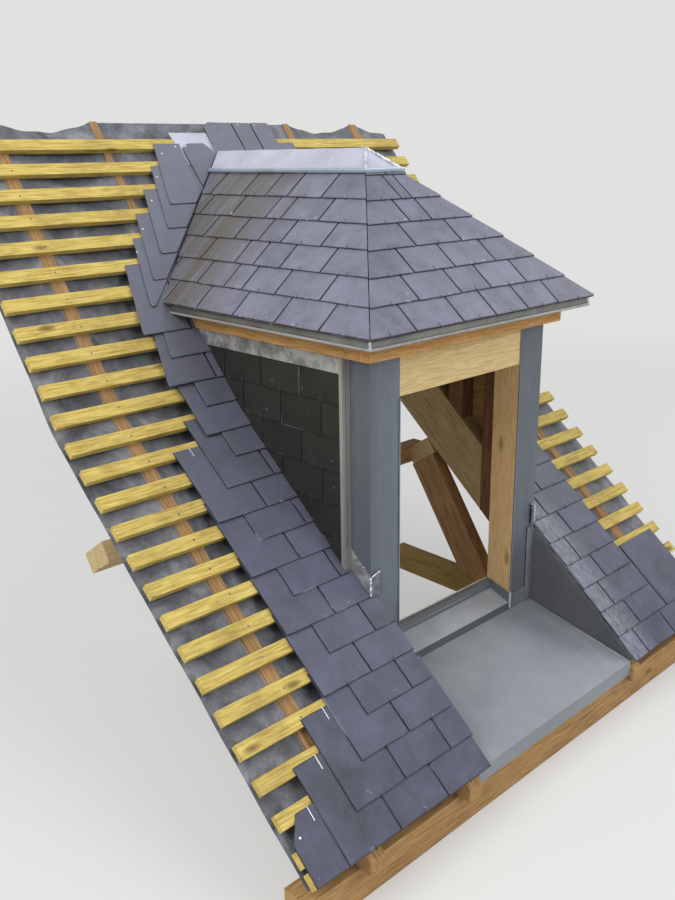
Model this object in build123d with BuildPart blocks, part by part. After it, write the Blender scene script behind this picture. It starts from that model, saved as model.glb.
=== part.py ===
from build123d import *
import os
from math import cos, hypot, radians, sin, tan

# A slated dormer window with its zinc tray and the piece of main roof around it.
# X runs along the front, Y into the roof and Z up, in millimetres. The origin is
# the middle of the wall plate's underside, on the dormer's centre line.

# Wall plate at the eaves
plate_depth = 100
plate_height = 125

# Main roof: a flatter slope at the eaves and a steeper one above the bend
lower_pitch = 40.43
upper_pitch = 52.0
eaves_y = -106
eaves_z = 220
bend_y = 1170
top_y = 2010
half_collar = 1230

# Covering of every slope, measured square to it
slate_width = 220
slate_length = 320
gauge = 115
slating = 14
batten_height = 25
batten_width = 50
underlay_sheet = 3

# Distances up the slope at which the battens start, and how many there are
eaves_batten_start = 5
batten_start = 70
batten_count = 25
dormer_batten_start = 130
dormer_batten_count = 6

# Main roof timbers
rafter_depth = 100
rafter_width = 60
outer_rafter_x = 955
rafter_foot = 10
head_trimmer_y = 1870
head_trimmer_width = 75

# Front wall
front_y = 420
dormer_width = 978
post_width = 145
post_depth = 120
sheet = 2
sill_z = 349
sill_depth = 125
sill_ledge = 98
sill_rise = 35
sill_beam_height = 129
upstand_height = 74
upstand_depth = 25
head_z = 1380
header_set_back = 4

# Cheeks and the timbers inside them
eaves_board_z = 1533
cheek_timber = 75
stud_depth = 106
raking_rise = 92
raking_depth = 220
raking_back_y = 1460
short_stud_y = (760, 980)
cheek_board = 18
cheek_set_back = 96
trim_leg = 16
trim_gap = 3
top_flashing_height = 60
foot_flashing_rise = 60
foot_flashing_turn = 58

# Eaves of the dormer
eaves_board_height = 61
eaves_board_overhang = 47
eaves_board_width = 122
drip_overhang = 118
drip_height = 43
bead = 10
bead_drop = 3
fascia_thickness = 40
slate_overhang = 15

# Dormer roof
roof_rise = 534
apex_y = 925
dormer_timber = 45
dormer_rafter_depth = 75
ridge_board_depth = 120
jack_y = 620
front_jack_x = 300
common_y = (970, 1320)
valley_width = 60
valley_gap = 12
cap_width = 130
cap_roll = 20
cap_sheet = 3
cap_gap = 24

# Where the main roof's covering stops at the front wall and under the dormer's eaves
wall_gap = 1
slate_lap = 15
batten_lap = 19

# Tray in front of the window
tray_depth = 500
tray_back_z = 318
tray_front_z = 215
tray_lip = 60
deck_thickness = 18
bearer_width = 60
bearer_back_y = 760

# Attic timbers behind the window: joists, struts, and the purlins cut off above them
joist_top_z = 361
joist_depth = 108
joist_back_y = 1150
strut_pitch = 56.3
strut_width = 60
strut_depth = 142
strut_toe_y = 574
purlin_width = 150
purlin_thickness = 75
purlin_nose = 14
cross_beam_y = 1060
cross_beam_z = 810
cross_beam_size = 75
cross_beam_lap = 110

# Slate courses of the main roof: the edge beside the tray, the outer end of the first
# course, and how many slates further in each course ends, from the eaves up. The last
# slates on the left lean towards the valley, from one course on.
left_edge_x = -455
left_first_x = -1104
left_ends = (0, 0.5, 1, 1.5, 1, 1.5, 1, 1.5, 1, 1.5, 1, 1.5, 2, 1.7, 2,
             1.5, 1.8, 1.5, 1.9, 2.2, 2.6, 3, 3.3, 4.4)
left_lean = 72
left_lean_from = 15
right_edge_x = 506
right_last_x = 1166
right_ends = (0, 0, 1.35, 1.35, 1.35, 1.35, 1.35, 1.35, 1.35, 1.35, 1.35, 1.35, 2.3, 2, 2.3,
              1.8, 2.1, 1.8, 2.1, 2.4, 2.6, 2.75, 2.85, 3.1, 3.6)

reach = 6000

# Heights and depths that follow
batten_top = slating
underlay_top = batten_top + batten_height
rafter_top = underlay_top + underlay_sheet
rafter_bottom = rafter_top + rafter_depth
half_width = dormer_width / 2
half_opening = half_width - post_width
cheek_inner_x = half_width - cheek_timber
board_outer_x = half_width + cheek_board
flashing_outer_x = board_outer_x + sheet
cheek_face_x = flashing_outer_x + slating
cheek_front_y = front_y + cheek_set_back
cover_front_y = cheek_front_y + sheet
trim_back_y = cheek_front_y + trim_leg
post_flashing_x = half_width + sheet
post_back_y = front_y + post_depth
stud_back_y = post_back_y + stud_depth
drip_x = half_width + drip_overhang
drip_y = front_y - drip_overhang
eaves_top_z = eaves_board_z + eaves_board_height
drip_top_z = eaves_top_z + drip_height
fascia_inner_x = drip_x - sheet - fascia_thickness
fascia_back_y = drip_y + sheet + fascia_thickness
hip_run = apex_y - drip_y
dormer_rafter_top = underlay_top
dormer_rafter_bottom = dormer_rafter_top + dormer_rafter_depth
tray_front_y = front_y - tray_depth
bend_z = eaves_z + (bend_y - eaves_y) * tan(radians(lower_pitch))
bend_slope = (bend_y - eaves_y) / cos(radians(lower_pitch))


def slope_plane(origin, fall, pitch):
    """A slope's surface: fall is the level direction, as (x, y), in which it goes down."""
    angle = radians(pitch)
    normal = (fall[0] * sin(angle), fall[1] * sin(angle), cos(angle))
    return Plane(origin=origin, x_dir=(-fall[1], fall[0], 0), z_dir=normal)


lower_slope = slope_plane((0, eaves_y, eaves_z), (0, -1), lower_pitch)
upper_slope = slope_plane((0, bend_y, bend_z), (0, -1), upper_pitch)
side_pitch = Vector(drip_x, roof_rise).get_angle(Vector(1, 0))
front_pitch = Vector(hip_run, roof_rise).get_angle(Vector(1, 0))
left_slope = slope_plane((-drip_x, 0, drip_top_z), (-1, 0), side_pitch).offset(slating)
right_slope = slope_plane((drip_x, 0, drip_top_z), (1, 0), side_pitch).offset(slating)
front_slope = slope_plane((0, drip_y, drip_top_z), (0, -1), front_pitch).offset(slating)
sides = {"left": -1, "right": 1}
side_slopes = {"left": left_slope, "right": right_slope}


def lower_z(y, depth=0):
    """Height of the lower main slope at y, some depth square below its slates."""
    return eaves_z + (y - eaves_y) * tan(radians(lower_pitch)) - depth / cos(radians(lower_pitch))


def upper_z(y, depth=0):
    """Height of the upper main slope at y, some depth square below its slates."""
    return bend_z + (y - bend_y) * tan(radians(upper_pitch)) - depth / cos(radians(upper_pitch))


def lower_y(z, depth=0):
    """Where the lower main slope reaches a height."""
    return eaves_y + (z - lower_z(eaves_y, depth)) / tan(radians(lower_pitch))


def upper_y(z, depth=0):
    """Where the upper main slope reaches a height."""
    return bend_y + (z - upper_z(bend_y, depth)) / tan(radians(upper_pitch))


def course_y(distance):
    """Plan place of a point that lies some distance up the main roof from its tail."""
    if distance < bend_slope:
        return eaves_y + distance * cos(radians(lower_pitch))
    return bend_y + (distance - bend_slope) * cos(radians(upper_pitch))


def side_z(x):
    """Height of the dormer's side slates at a distance from the centre line."""
    return drip_top_z + slating / cos(radians(side_pitch)) + (drip_x - x) * roof_rise / drip_x


def valley_y(x, gap=0):
    """Plan line of the valley, gap being taken square to it towards the dormer."""
    steepness = roof_rise / drip_x / tan(radians(upper_pitch))
    return upper_y(side_z(x)) - gap * hypot(1, steepness)


def hip_y(x, gap=0):
    """Plan line of the hip, gap being taken square to it towards the sides."""
    return apex_y - x * hip_run / drip_x + gap * hypot(1, hip_run / drip_x)


def outline(*corners):
    """A level outline from its corners."""
    with BuildSketch() as plan:
        with BuildLine():
            Polyline(*corners, close=True)
        make_face()
    return plan.sketch


def rectangle(x_from, x_to, y_from, y_to):
    """A level rectangle from its four sides."""
    return outline((x_from, y_from), (x_to, y_from), (x_to, y_to), (x_from, y_to))


def together(plans, within=None):
    """Several level outlines as one, kept inside another where one is given."""
    with BuildSketch() as plan:
        for shape in plans:
            add(shape)
        if within is not None:
            add(within, mode=Mode.INTERSECT)
    return plan.sketch


def slope_layer(slope, top, bottom, plan, bands=((-reach, reach),)):
    """What a level outline cuts from the layer between two depths below a slope.

    The bands are distances up the slope between which the layer has material.
    """
    with BuildPart() as layer:
        with BuildSketch(slope.offset(-bottom)):
            for start, end in bands:
                with Locations((0, (start + end) / 2)):
                    Rectangle(2 * reach, end - start)
        extrude(amount=bottom - top)
        with BuildSketch(Plane.XY.offset(-reach)):
            add(plan)
        extrude(amount=2 * reach, mode=Mode.INTERSECT)
    return layer.part


def across(x_from, x_to, *corners):
    """A side profile, given by its (y, z) corners, carried across the dormer."""
    with BuildPart() as piece:
        with BuildSketch(Plane.YZ.offset(x_from)):
            with BuildLine():
                Polyline(*corners, close=True)
            make_face()
        extrude(amount=x_to - x_from)
    return piece.part


def block(x_from, x_to, y_from, y_to, z_from, z_to):
    """A squared timber or plate between six faces."""
    corners = ((y_from, z_from), (y_to, z_from), (y_to, z_to), (y_from, z_to))
    return across(x_from, x_to, *corners)


def less(piece, *cutters):
    """A piece with other shapes cut away."""
    with BuildPart() as rest:
        add(piece)
        for cutter in cutters:
            add(cutter, mode=Mode.SUBTRACT)
    return rest.part


def joined(*pieces):
    """Several solids that belong to one piece."""
    with BuildPart() as whole:
        add(pieces)
    return whole.part


def half_space(plane, direction):
    """All that lies on one side of a plane."""
    with BuildPart() as side_of_plane:
        with BuildSketch(plane):
            Rectangle(2 * reach, 2 * reach)
        extrude(amount=direction * reach)
    return side_of_plane.part


def finish(name, piece):
    """Labels a finished piece and writes it."""
    piece.label = name
    export_step(piece, f"parts/{name}.step")


os.makedirs("parts", exist_ok=True)

# The plane on which the two main slopes meet, halfway between their squares
mitre_pitch = radians((lower_pitch + upper_pitch) / 2)
bend_plane = Plane(origin=(0, bend_y, bend_z), x_dir=(1, 0, 0),
                   z_dir=(0, cos(mitre_pitch), sin(mitre_pitch)))
before_bend = half_space(bend_plane, -1)
beyond_bend = half_space(bend_plane, 1)


def roof_layer(top, bottom, plan, bands=((-reach, reach),)):
    """A layer on both slopes of the main roof, mitred at the bend."""
    upper_bands = [(start - bend_slope, end - bend_slope) for start, end in bands]
    lower_layer = slope_layer(lower_slope, top, bottom, plan, bands)
    upper_layer = slope_layer(upper_slope, top, bottom, plan, upper_bands)
    return joined(less(lower_layer, beyond_bend), less(upper_layer, before_bend))


def under_slope(slope, depth=0):
    """All that lies more than a depth below a slope."""
    return half_space(slope.offset(-depth), -1)


def under_main_roof(depth=0):
    """All that lies more than a depth below the main roof's two slopes."""
    return joined(under_slope(lower_slope, depth), under_slope(upper_slope, depth))


def over_dormer_roof(depth):
    """All that lies above the dormer's three slopes, lowered by a depth."""
    return joined(*[half_space(slope.offset(-depth), 1)
                    for slope in (left_slope, right_slope, front_slope)])


# Wall plate, with the seat of the whole piece under it
wall_plate = block(-half_collar, half_collar, -plate_depth / 2, plate_depth / 2, 0, plate_height)
finish("wall_plate", wall_plate)

# Struts that rise from the attic joists, and the purlins that lie on their square-cut heads.
# The purlins are cut off at the dormer and just reach the underside of its raking trimmers.
raking_bottom = raking_depth - raking_rise
strut_along = Vector(cos(radians(strut_pitch)), sin(radians(strut_pitch)))
strut_across = Vector(strut_along.Y, -strut_along.X)
strut_toe = Vector(strut_toe_y, joist_top_z)
strut_run = strut_depth / sin(radians(strut_pitch))
nose_line = strut_toe - strut_across * purlin_nose
nose_reach = (lower_z(nose_line.X, raking_bottom) - nose_line.Y) / (
    strut_along.Y - strut_along.X * tan(radians(lower_pitch)))
purlin_corner = nose_line + strut_along * (nose_reach - purlin_thickness)
strut_head = strut_toe + strut_along * (nose_reach - purlin_thickness)


def section(*corners):
    """Corners of a side profile as (y, z) pairs, from vectors."""
    return [(corner.X, corner.Y) for corner in corners]


purlin_section = section(
    purlin_corner, purlin_corner + strut_across * purlin_width,
    purlin_corner + strut_across * purlin_width + strut_along * purlin_thickness,
    purlin_corner + strut_along * purlin_thickness)
purlins = joined(*[across(side * cheek_inner_x, side * half_collar, *purlin_section)
                   for side in (-1, 1)])
finish("purlins", purlins)
strut_x = cheek_inner_x + strut_width
finish("struts", joined(*[across(
    side * cheek_inner_x, side * strut_x,
    *section(strut_toe, strut_head, strut_head + strut_across * strut_depth,
             strut_toe + Vector(strut_run, 0))) for side in (-1, 1)]))

# Beam across the dormer's opening, against the backs of the cut purlins
beam_end_x = cheek_inner_x + cross_beam_lap
finish("cross_beam", less(block(-beam_end_x, beam_end_x, cross_beam_y, cross_beam_y + cross_beam_size,
                                cross_beam_z, cross_beam_z + cross_beam_size), purlins))

# Main rafters: a pair beside the dormer and one further out on each side
rafter_lines = [rectangle(x, x + rafter_width, eaves_y + rafter_foot, top_y)
                for x in (half_width, outer_rafter_x,
                          -half_width - rafter_width, -outer_rafter_x - rafter_width)]
below_plate_top = half_space(Plane.XY.offset(plate_height), -1)
rafter_plan = together(rafter_lines)
finish("lower_rafters", less(slope_layer(lower_slope, rafter_top, rafter_bottom, rafter_plan),
                             beyond_bend, below_plate_top, purlins))
finish("upper_rafters", less(slope_layer(upper_slope, rafter_top, rafter_bottom, rafter_plan),
                             before_bend))

# Trimmer that closes the hole in the main roof behind the ridge
finish("head_trimmer", slope_layer(upper_slope, rafter_top, rafter_bottom, rectangle(
    -half_width, half_width, head_trimmer_y, head_trimmer_y + head_trimmer_width)))

# Underlay, battens and slates of the main roof, left and right of the dormer
batten_bands = [(start, start + batten_width) for start in
                (eaves_batten_start, *[n * gauge + batten_start for n in range(batten_count)])]
main_battens = []
for name, side in sides.items():
    collar_x = side * half_collar
    hole_edge = [(side * board_outer_x, eaves_y + rafter_foot),
                 (side * board_outer_x, valley_y(board_outer_x, -dormer_timber / 2)),
                 (0, valley_y(0, -dormer_timber / 2))]
    finish(f"underlay_{name}", roof_layer(underlay_top, rafter_top, outline(
        *hole_edge, (0, top_y), (collar_x, top_y), (collar_x, eaves_y + rafter_foot))))

    batten_edge = [(side * flashing_outer_x, eaves_y),
                   (side * flashing_outer_x, valley_y(flashing_outer_x, batten_lap)),
                   (side * (flashing_outer_x + valley_width / 2),
                    valley_y(flashing_outer_x + valley_width / 2, -valley_width - sheet)),
                   (0, valley_y(0, -valley_width - sheet))]
    main_battens.append(roof_layer(batten_top, underlay_top, outline(
        *batten_edge, (0, top_y), (collar_x, top_y), (collar_x, eaves_y)), batten_bands))
finish("main_battens", joined(*main_battens))

left_courses = []
for n, share in enumerate(left_ends):
    end_x = left_first_x + share * slate_width
    lean = left_lean if n >= left_lean_from else 0
    tail, head = course_y(n * gauge), course_y(n * gauge + slate_length)
    left_courses.append(outline((end_x, tail), (0, tail), (0, head), (end_x + lean, head)))
right_courses = [rectangle(0, right_last_x - share * slate_width,
                           course_y(n * gauge), course_y(n * gauge + slate_length))
                 for n, share in enumerate(right_ends)]
tail_x = drip_x + slate_overhang
wall_stop_y = front_y - wall_gap
for name, side, courses, edge_x in (("left", -1, left_courses, left_edge_x),
                                    ("right", 1, right_courses, right_edge_x)):
    far_x = side * reach
    beside = outline((edge_x, -reach), (edge_x, wall_stop_y), (side * post_flashing_x, wall_stop_y),
                     (side * post_flashing_x, cheek_front_y), (side * flashing_outer_x, cheek_front_y),
                     (side * flashing_outer_x, valley_y(flashing_outer_x, slate_lap)),
                     (side * tail_x, valley_y(tail_x, slate_lap)),
                     (side * tail_x, valley_y(tail_x, -valley_gap)),
                     (0, valley_y(0, -valley_gap)), (0, top_y), (far_x, top_y), (far_x, -reach))
    finish(f"main_slates_{name}", roof_layer(0, slating, together(courses, within=beside)))

# Valleys: a board and a folded zinc sheet under the meeting of the slates
valley_foot_x = half_width + rafter_width / 4


def valley_layer(name, top, bottom):
    """A folded strip that lies in the valley, between two depths below the slates."""
    side = sides[name]
    outer_x = valley_foot_x + valley_width / 2
    inner_x = valley_foot_x - valley_width / 2
    strip = outline((0, valley_y(0, -valley_width)), (side * outer_x, valley_y(outer_x, -valley_width)),
                    (side * inner_x, valley_y(inner_x, valley_width)), (0, valley_y(0, valley_width)))
    flanks = joined(slope_layer(upper_slope, top, bottom, strip),
                    slope_layer(side_slopes[name], top, bottom, strip))
    return less(flanks, under_slope(upper_slope, bottom), under_slope(side_slopes[name], bottom))


finish("valley_zinc", joined(*[valley_layer(name, slating, slating + sheet) for name in sides]))
finish("valley_boards", joined(*[valley_layer(name, slating + sheet, underlay_top)
                                 for name in sides]))

# Sill beam with its upstand board, and the bearers that carry the tray
beam_front_y = front_y + sheet
sill_step_y = front_y + sill_ledge
beam_back_y = front_y + sill_depth - sheet
beam_top_z = sill_z - sheet
beam_bottom_z = beam_top_z - sill_beam_height
upstand_z = sill_z + upstand_height
ledge_back_z = sill_z + sill_rise
ledge_bottom_z = beam_top_z + sill_rise * (sill_ledge + sheet) / sill_ledge
finish("sill_beam", joined(
    block(-half_width, half_width, beam_front_y, beam_back_y, beam_bottom_z, beam_top_z),
    across(-half_opening, half_opening,
           (front_y, beam_top_z), (sill_step_y + sheet, ledge_bottom_z),
           (sill_step_y + sheet, upstand_z - sheet), (beam_back_y, upstand_z - sheet),
           (beam_back_y, beam_top_z))))
finish("sill_zinc", across(
    -half_opening, half_opening,
    (front_y, beam_top_z), (front_y, sill_z), (sill_step_y, ledge_back_z), (sill_step_y, upstand_z),
    (beam_back_y + sheet, upstand_z), (beam_back_y + sheet, upstand_z - upstand_depth),
    (beam_back_y, upstand_z - upstand_depth), (beam_back_y, upstand_z - sheet),
    (sill_step_y + sheet, upstand_z - sheet), (sill_step_y + sheet, ledge_bottom_z)))


def tray_z(y, depth=0):
    """Height of the tray's floor at y, some depth straight below its zinc."""
    return tray_front_z + (y - tray_front_y) * (tray_back_z - tray_front_z) / tray_depth - depth


deck_bottom = sheet + deck_thickness
joist_bottom_z = joist_top_z - joist_depth
joist_x = cheek_inner_x + bearer_width
bearer_front_y = -plate_depth / 2
bearer_seat = (plate_depth / 2, plate_height)
side_bearer = ((bearer_front_y, plate_height), (bearer_front_y, tray_z(bearer_front_y, deck_bottom)),
               (beam_front_y, tray_z(beam_front_y, deck_bottom)), (beam_front_y, beam_bottom_z),
               (beam_back_y, beam_bottom_z), (beam_back_y, joist_bottom_z),
               (bearer_back_y, joist_bottom_z), (bearer_back_y, joist_bottom_z - joist_depth),
               bearer_seat)
middle_bearer = ((bearer_front_y, plate_height), (bearer_front_y, tray_z(bearer_front_y, deck_bottom)),
                 (beam_front_y, tray_z(beam_front_y, deck_bottom)), (beam_front_y, beam_bottom_z),
                 (beam_back_y, beam_bottom_z), (beam_back_y, joist_bottom_z - joist_depth),
                 bearer_seat)
finish("tray_bearers", joined(across(-joist_x, -cheek_inner_x, *side_bearer),
                              across(-bearer_width / 2, bearer_width / 2, *middle_bearer),
                              across(cheek_inner_x, joist_x, *side_bearer)))

# Tray: sloping deck, zinc floor with its lip, and a zinc cheek on each side
finish("tray_deck", across(-half_width, half_width,
                           (tray_front_y, tray_z(tray_front_y, sheet)),
                           (front_y, tray_z(front_y, sheet)),
                           (front_y, tray_z(front_y, deck_bottom)),
                           (tray_front_y, tray_z(tray_front_y, deck_bottom))))
lip_y = tray_front_y - sheet
upstand_front_y = front_y - sheet
finish("tray_zinc", across(
    sheet - half_width, half_width - sheet,
    (lip_y, tray_front_z - tray_lip), (lip_y, tray_z(lip_y)), (upstand_front_y, tray_z(upstand_front_y)),
    (upstand_front_y, sill_z), (front_y, sill_z), (front_y, tray_z(front_y, sheet)),
    (tray_front_y, tray_z(tray_front_y, sheet)), (tray_front_y, tray_front_z - tray_lip)))
for name, side in sides.items():
    cheek_wall = less(across(side * (half_width - sheet), side * half_width,
                             (tray_front_y, tray_z(tray_front_y, sheet)),
                             (front_y, tray_z(front_y, sheet)),
                             (front_y, eaves_board_z), (tray_front_y, eaves_board_z)),
                      half_space(lower_slope.offset(-slating), 1))
    cheek_flange = slope_layer(lower_slope, slating, slating + sheet, rectangle(
        side * (half_width - sheet), side * (board_outer_x - wall_gap), tray_front_y, front_y))
    finish(f"tray_cheek_{name}", joined(less(cheek_wall, cheek_flange), cheek_flange))

# Posts with their zinc, and the header between them
for name, side in sides.items():
    outer_x = side * (half_width - sheet)
    finish(f"post_{name}", block(side * half_opening, outer_x, beam_front_y, post_back_y,
                                 beam_top_z, eaves_board_z))
    zinc_front = block(side * half_opening, side * half_width, front_y, beam_front_y,
                       tray_z(front_y), eaves_board_z)
    zinc_side = block(outer_x, side * half_width, front_y, post_back_y, beam_top_z, eaves_board_z)
    finish(f"post_zinc_{name}", joined(zinc_front, zinc_side))
finish("header", block(-half_opening, half_opening, front_y + header_set_back, post_back_y,
                       head_z, eaves_board_z))

# Cheek framing: raking trimmer, studs and top rail on each side
rail_bottom_z = eaves_board_z - cheek_timber
above_rail = half_space(Plane.XY.offset(eaves_board_z), 1)
trimmers, studs, rails = [], [], []
for side in sides.values():
    x_from, x_to = side * cheek_inner_x, side * half_width
    trimmers.append(slope_layer(lower_slope, -raking_rise, raking_bottom,
                                rectangle(x_from, x_to, stud_back_y, raking_back_y)))
    front_stud = across(x_from, x_to, (post_back_y, lower_z(post_back_y, raking_bottom)),
                        (stud_back_y, lower_z(stud_back_y, raking_bottom)),
                        (stud_back_y, eaves_board_z), (post_back_y, eaves_board_z))
    short_studs = [across(x_from, x_to, (y, lower_z(y, -raking_rise)),
                          (y + cheek_timber, lower_z(y + cheek_timber, -raking_rise)),
                          (y + cheek_timber, rail_bottom_z), (y, rail_bottom_z))
                   for y in short_stud_y]
    studs += [front_stud, *short_studs]
    rails.append(across(
        x_from, x_to, (stud_back_y, rail_bottom_z), (lower_y(rail_bottom_z, -raking_rise), rail_bottom_z),
        (lower_y(eaves_board_z, -raking_rise), eaves_board_z), (stud_back_y, eaves_board_z)))
finish("raking_trimmers", less(joined(*trimmers), above_rail))
finish("cheek_studs", joined(*studs))
finish("cheek_rails", joined(*rails))


def cheek_sheet(x_from, x_to, depth, bottom_z=0, start_y=cover_front_y):
    """A cheek layer, from a depth below the main slates up to the eaves board."""
    return less(block(x_from, x_to, start_y, top_y, bottom_z, eaves_board_z), under_main_roof(depth))


def upright_strip(x_from, x_to, y_from, y_to):
    """A folded strip that stands on the main slates and reaches the eaves board."""
    return across(x_from, x_to, (y_from, lower_z(y_from)), (y_to, lower_z(y_to)),
                  (y_to, eaves_board_z), (y_from, eaves_board_z))


# Cheek covering: boards, foot flashings, slates, top flashings and front trims. The foot
# flashing runs on along the post and turns round its front corner.
foot_flashings, top_flashings, cheek_trims = [], [], []
for name, side in sides.items():
    cheek_flashing = less(
        cheek_sheet(side * board_outer_x, side * flashing_outer_x, underlay_top),
        cheek_sheet(side * board_outer_x, side * flashing_outer_x, -foot_flashing_rise))
    post_flashing = across(
        side * half_width, side * post_flashing_x,
        (front_y, lower_z(front_y, slating)), (cheek_front_y, lower_z(cheek_front_y, slating)),
        (cheek_front_y, lower_z(cheek_front_y, -foot_flashing_rise)),
        (front_y, lower_z(front_y, -foot_flashing_rise)))
    front_turn = block(side * (post_flashing_x - foot_flashing_turn), side * post_flashing_x,
                       front_y - sheet, front_y, lower_z(front_y), lower_z(front_y, -foot_flashing_rise))
    foot_flashings += [cheek_flashing, joined(post_flashing, front_turn)]
    finish(f"cheek_boards_{name}", cheek_sheet(side * half_width, side * board_outer_x, rafter_top))
    finish(f"cheek_slates_{name}", less(
        cheek_sheet(side * board_outer_x, side * cheek_face_x, 0), cheek_flashing))
    top_flashings.append(cheek_sheet(side * cheek_face_x, side * (cheek_face_x + sheet), 0,
                                     eaves_board_z - top_flashing_height, trim_back_y))
    board_trim = upright_strip(side * half_width, side * board_outer_x, cheek_front_y, cover_front_y)
    slate_trim = upright_strip(side * (board_outer_x + trim_gap), side * (cheek_face_x + sheet),
                               cheek_front_y, cover_front_y)
    slate_trim_leg = upright_strip(side * cheek_face_x, side * (cheek_face_x + sheet),
                                   cheek_front_y, trim_back_y)
    cheek_trims += [board_trim, joined(slate_trim, slate_trim_leg)]
finish("foot_flashings", joined(*foot_flashings))
finish("top_flashings", joined(*top_flashings))
finish("cheek_trims", joined(*cheek_trims))

# Attic joists that carry the struts
finish("joists", joined(*[block(side * cheek_inner_x, side * joist_x, beam_back_y, joist_back_y,
                                joist_bottom_z, joist_top_z) for side in (-1, 1)]))

# Eaves boards on top of the front wall and the cheeks
board_outer = half_width + eaves_board_overhang
board_front_y = front_y - eaves_board_overhang
board_back_y = board_front_y + eaves_board_width
finish("eaves_board_front", block(-board_outer, board_outer, board_front_y, board_back_y,
                                  eaves_board_z, eaves_top_z))
for name, side in sides.items():
    board = block(side * (board_outer - eaves_board_width), side * board_outer, board_back_y, top_y,
                  eaves_board_z, eaves_top_z)
    finish(f"eaves_board_{name}", less(board, under_main_roof()))

# Fascia behind the drip edge, cut to the slope of the slates
over_slating = over_dormer_roof(slating)
fascia_x = drip_x - sheet
fascia_y = drip_y + sheet
fascia_top_z = drip_top_z + fascia_thickness
front_fascia = block(-fascia_x, fascia_x, fascia_y, fascia_back_y, eaves_top_z, fascia_top_z)
finish("fascia_front", less(front_fascia, over_slating))
for name, side in sides.items():
    fascia = block(side * fascia_inner_x, side * fascia_x, fascia_back_y, top_y,
                   eaves_top_z, fascia_top_z)
    finish(f"fascia_{name}", less(fascia, over_slating, under_main_roof()))


def eaves_ring(inset, width, z_from, z_to):
    """A strip that goes round the front and both sides of the dormer's eaves."""
    x, y = drip_x - inset, drip_y + inset
    with BuildPart() as ring:
        with BuildSketch(Plane.XY.offset(z_from)):
            add(outline((-x, top_y), (-x, y), (x, y), (x, top_y),
                        (x - width, top_y), (x - width, y + width),
                        (width - x, y + width), (width - x, top_y)))
        extrude(amount=z_to - z_from)
    return ring.part


# Drip edge: an upright zinc strip with a bead along its lower edge
bead_bottom_z = eaves_top_z - bead_drop
bead_top_z = bead_bottom_z + bead
finish("drip_edge", less(joined(eaves_ring(0, sheet, bead_top_z, drip_top_z),
                                eaves_ring(sheet - bead, bead, bead_bottom_z, bead_top_z)),
                         under_main_roof()))


def side_plan(side, inner_x, outer_x, hip_gap=0, gap=0):
    """Level outline of a side slope between the hip and the valley."""
    return outline((side * inner_x, hip_y(inner_x, hip_gap)), (side * outer_x, hip_y(outer_x, hip_gap)),
                   (side * outer_x, valley_y(outer_x, gap)), (side * inner_x, valley_y(inner_x, gap)))


def front_plan(from_y, hip_gap=0):
    """Level outline of the front slope, above a line along its eaves."""
    tip_y = hip_y(0, -hip_gap)
    half_base = (tip_y - from_y) * drip_x / hip_run
    return outline((-half_base, from_y), (half_base, from_y), (0, tip_y))


# Ridge board, hip rafters and rafters of the dormer roof
ridge_z = drip_top_z + roof_rise
half_timber = dormer_timber / 2
ridge_board_top_z = (ridge_z - batten_height / cos(radians(side_pitch))
                     - half_timber * roof_rise / drip_x)
finish("ridge_board", block(-half_timber, half_timber, apex_y, head_trimmer_y,
                            ridge_board_top_z - ridge_board_depth, ridge_board_top_z))

below_eaves_top = half_space(Plane.XY.offset(eaves_top_z), -1)
over_rafters = over_dormer_roof(dormer_rafter_top)
hip_bottom_z = ridge_z + (slating - dormer_rafter_bottom) / cos(radians(side_pitch))
hip_slope = roof_rise / hypot(drip_x, hip_run)
jack_and_common_lines = [rectangle(-reach, reach, y, y + dormer_timber)
                         for y in (jack_y, *common_y)]
hips, side_rafters = [], []
for name, side in sides.items():
    hip_out = Vector(side * drip_x, -hip_run).normalized()
    hip_across = Vector(-hip_out.Y, hip_out.X)
    with BuildPart() as hip:
        with BuildSketch(Plane.XY.offset(eaves_top_z)):
            add(outline(*[Vector(0, apex_y) + hip_out * along + hip_across * off
                          for along, off in ((-reach, -half_timber), (reach, -half_timber),
                                             (reach, half_timber), (-reach, half_timber))]))
            add(rectangle(side * half_timber, side * fascia_inner_x, fascia_back_y, reach),
                mode=Mode.INTERSECT)
        extrude(amount=reach)
        add(over_rafters, mode=Mode.SUBTRACT)
    under_hip = Plane(origin=(0, apex_y, hip_bottom_z), x_dir=hip_across,
                      z_dir=(hip_out.X * hip_slope, hip_out.Y * hip_slope, 1))
    hips.append(less(hip.part, half_space(under_hip, -1)))
    side_rafters.append(slope_layer(
        side_slopes[name], dormer_rafter_top, dormer_rafter_bottom, together(
            jack_and_common_lines,
            within=side_plan(side, half_timber, fascia_inner_x, hip_gap=half_timber))))
finish("hip_rafters", joined(*hips))
finish("side_rafters", less(joined(*side_rafters), below_eaves_top))

front_lines = [rectangle(x - half_timber, x + half_timber, -reach, apex_y)
               for x in (-front_jack_x, front_jack_x)]
front_jacks = together(front_lines, within=front_plan(fascia_back_y, hip_gap=half_timber))
front_common = rectangle(-half_timber, half_timber, fascia_back_y, apex_y)
finish("front_rafters", less(
    slope_layer(front_slope, dormer_rafter_top, dormer_rafter_bottom,
                together([front_jacks, front_common])),
    below_eaves_top, over_rafters))

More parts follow.
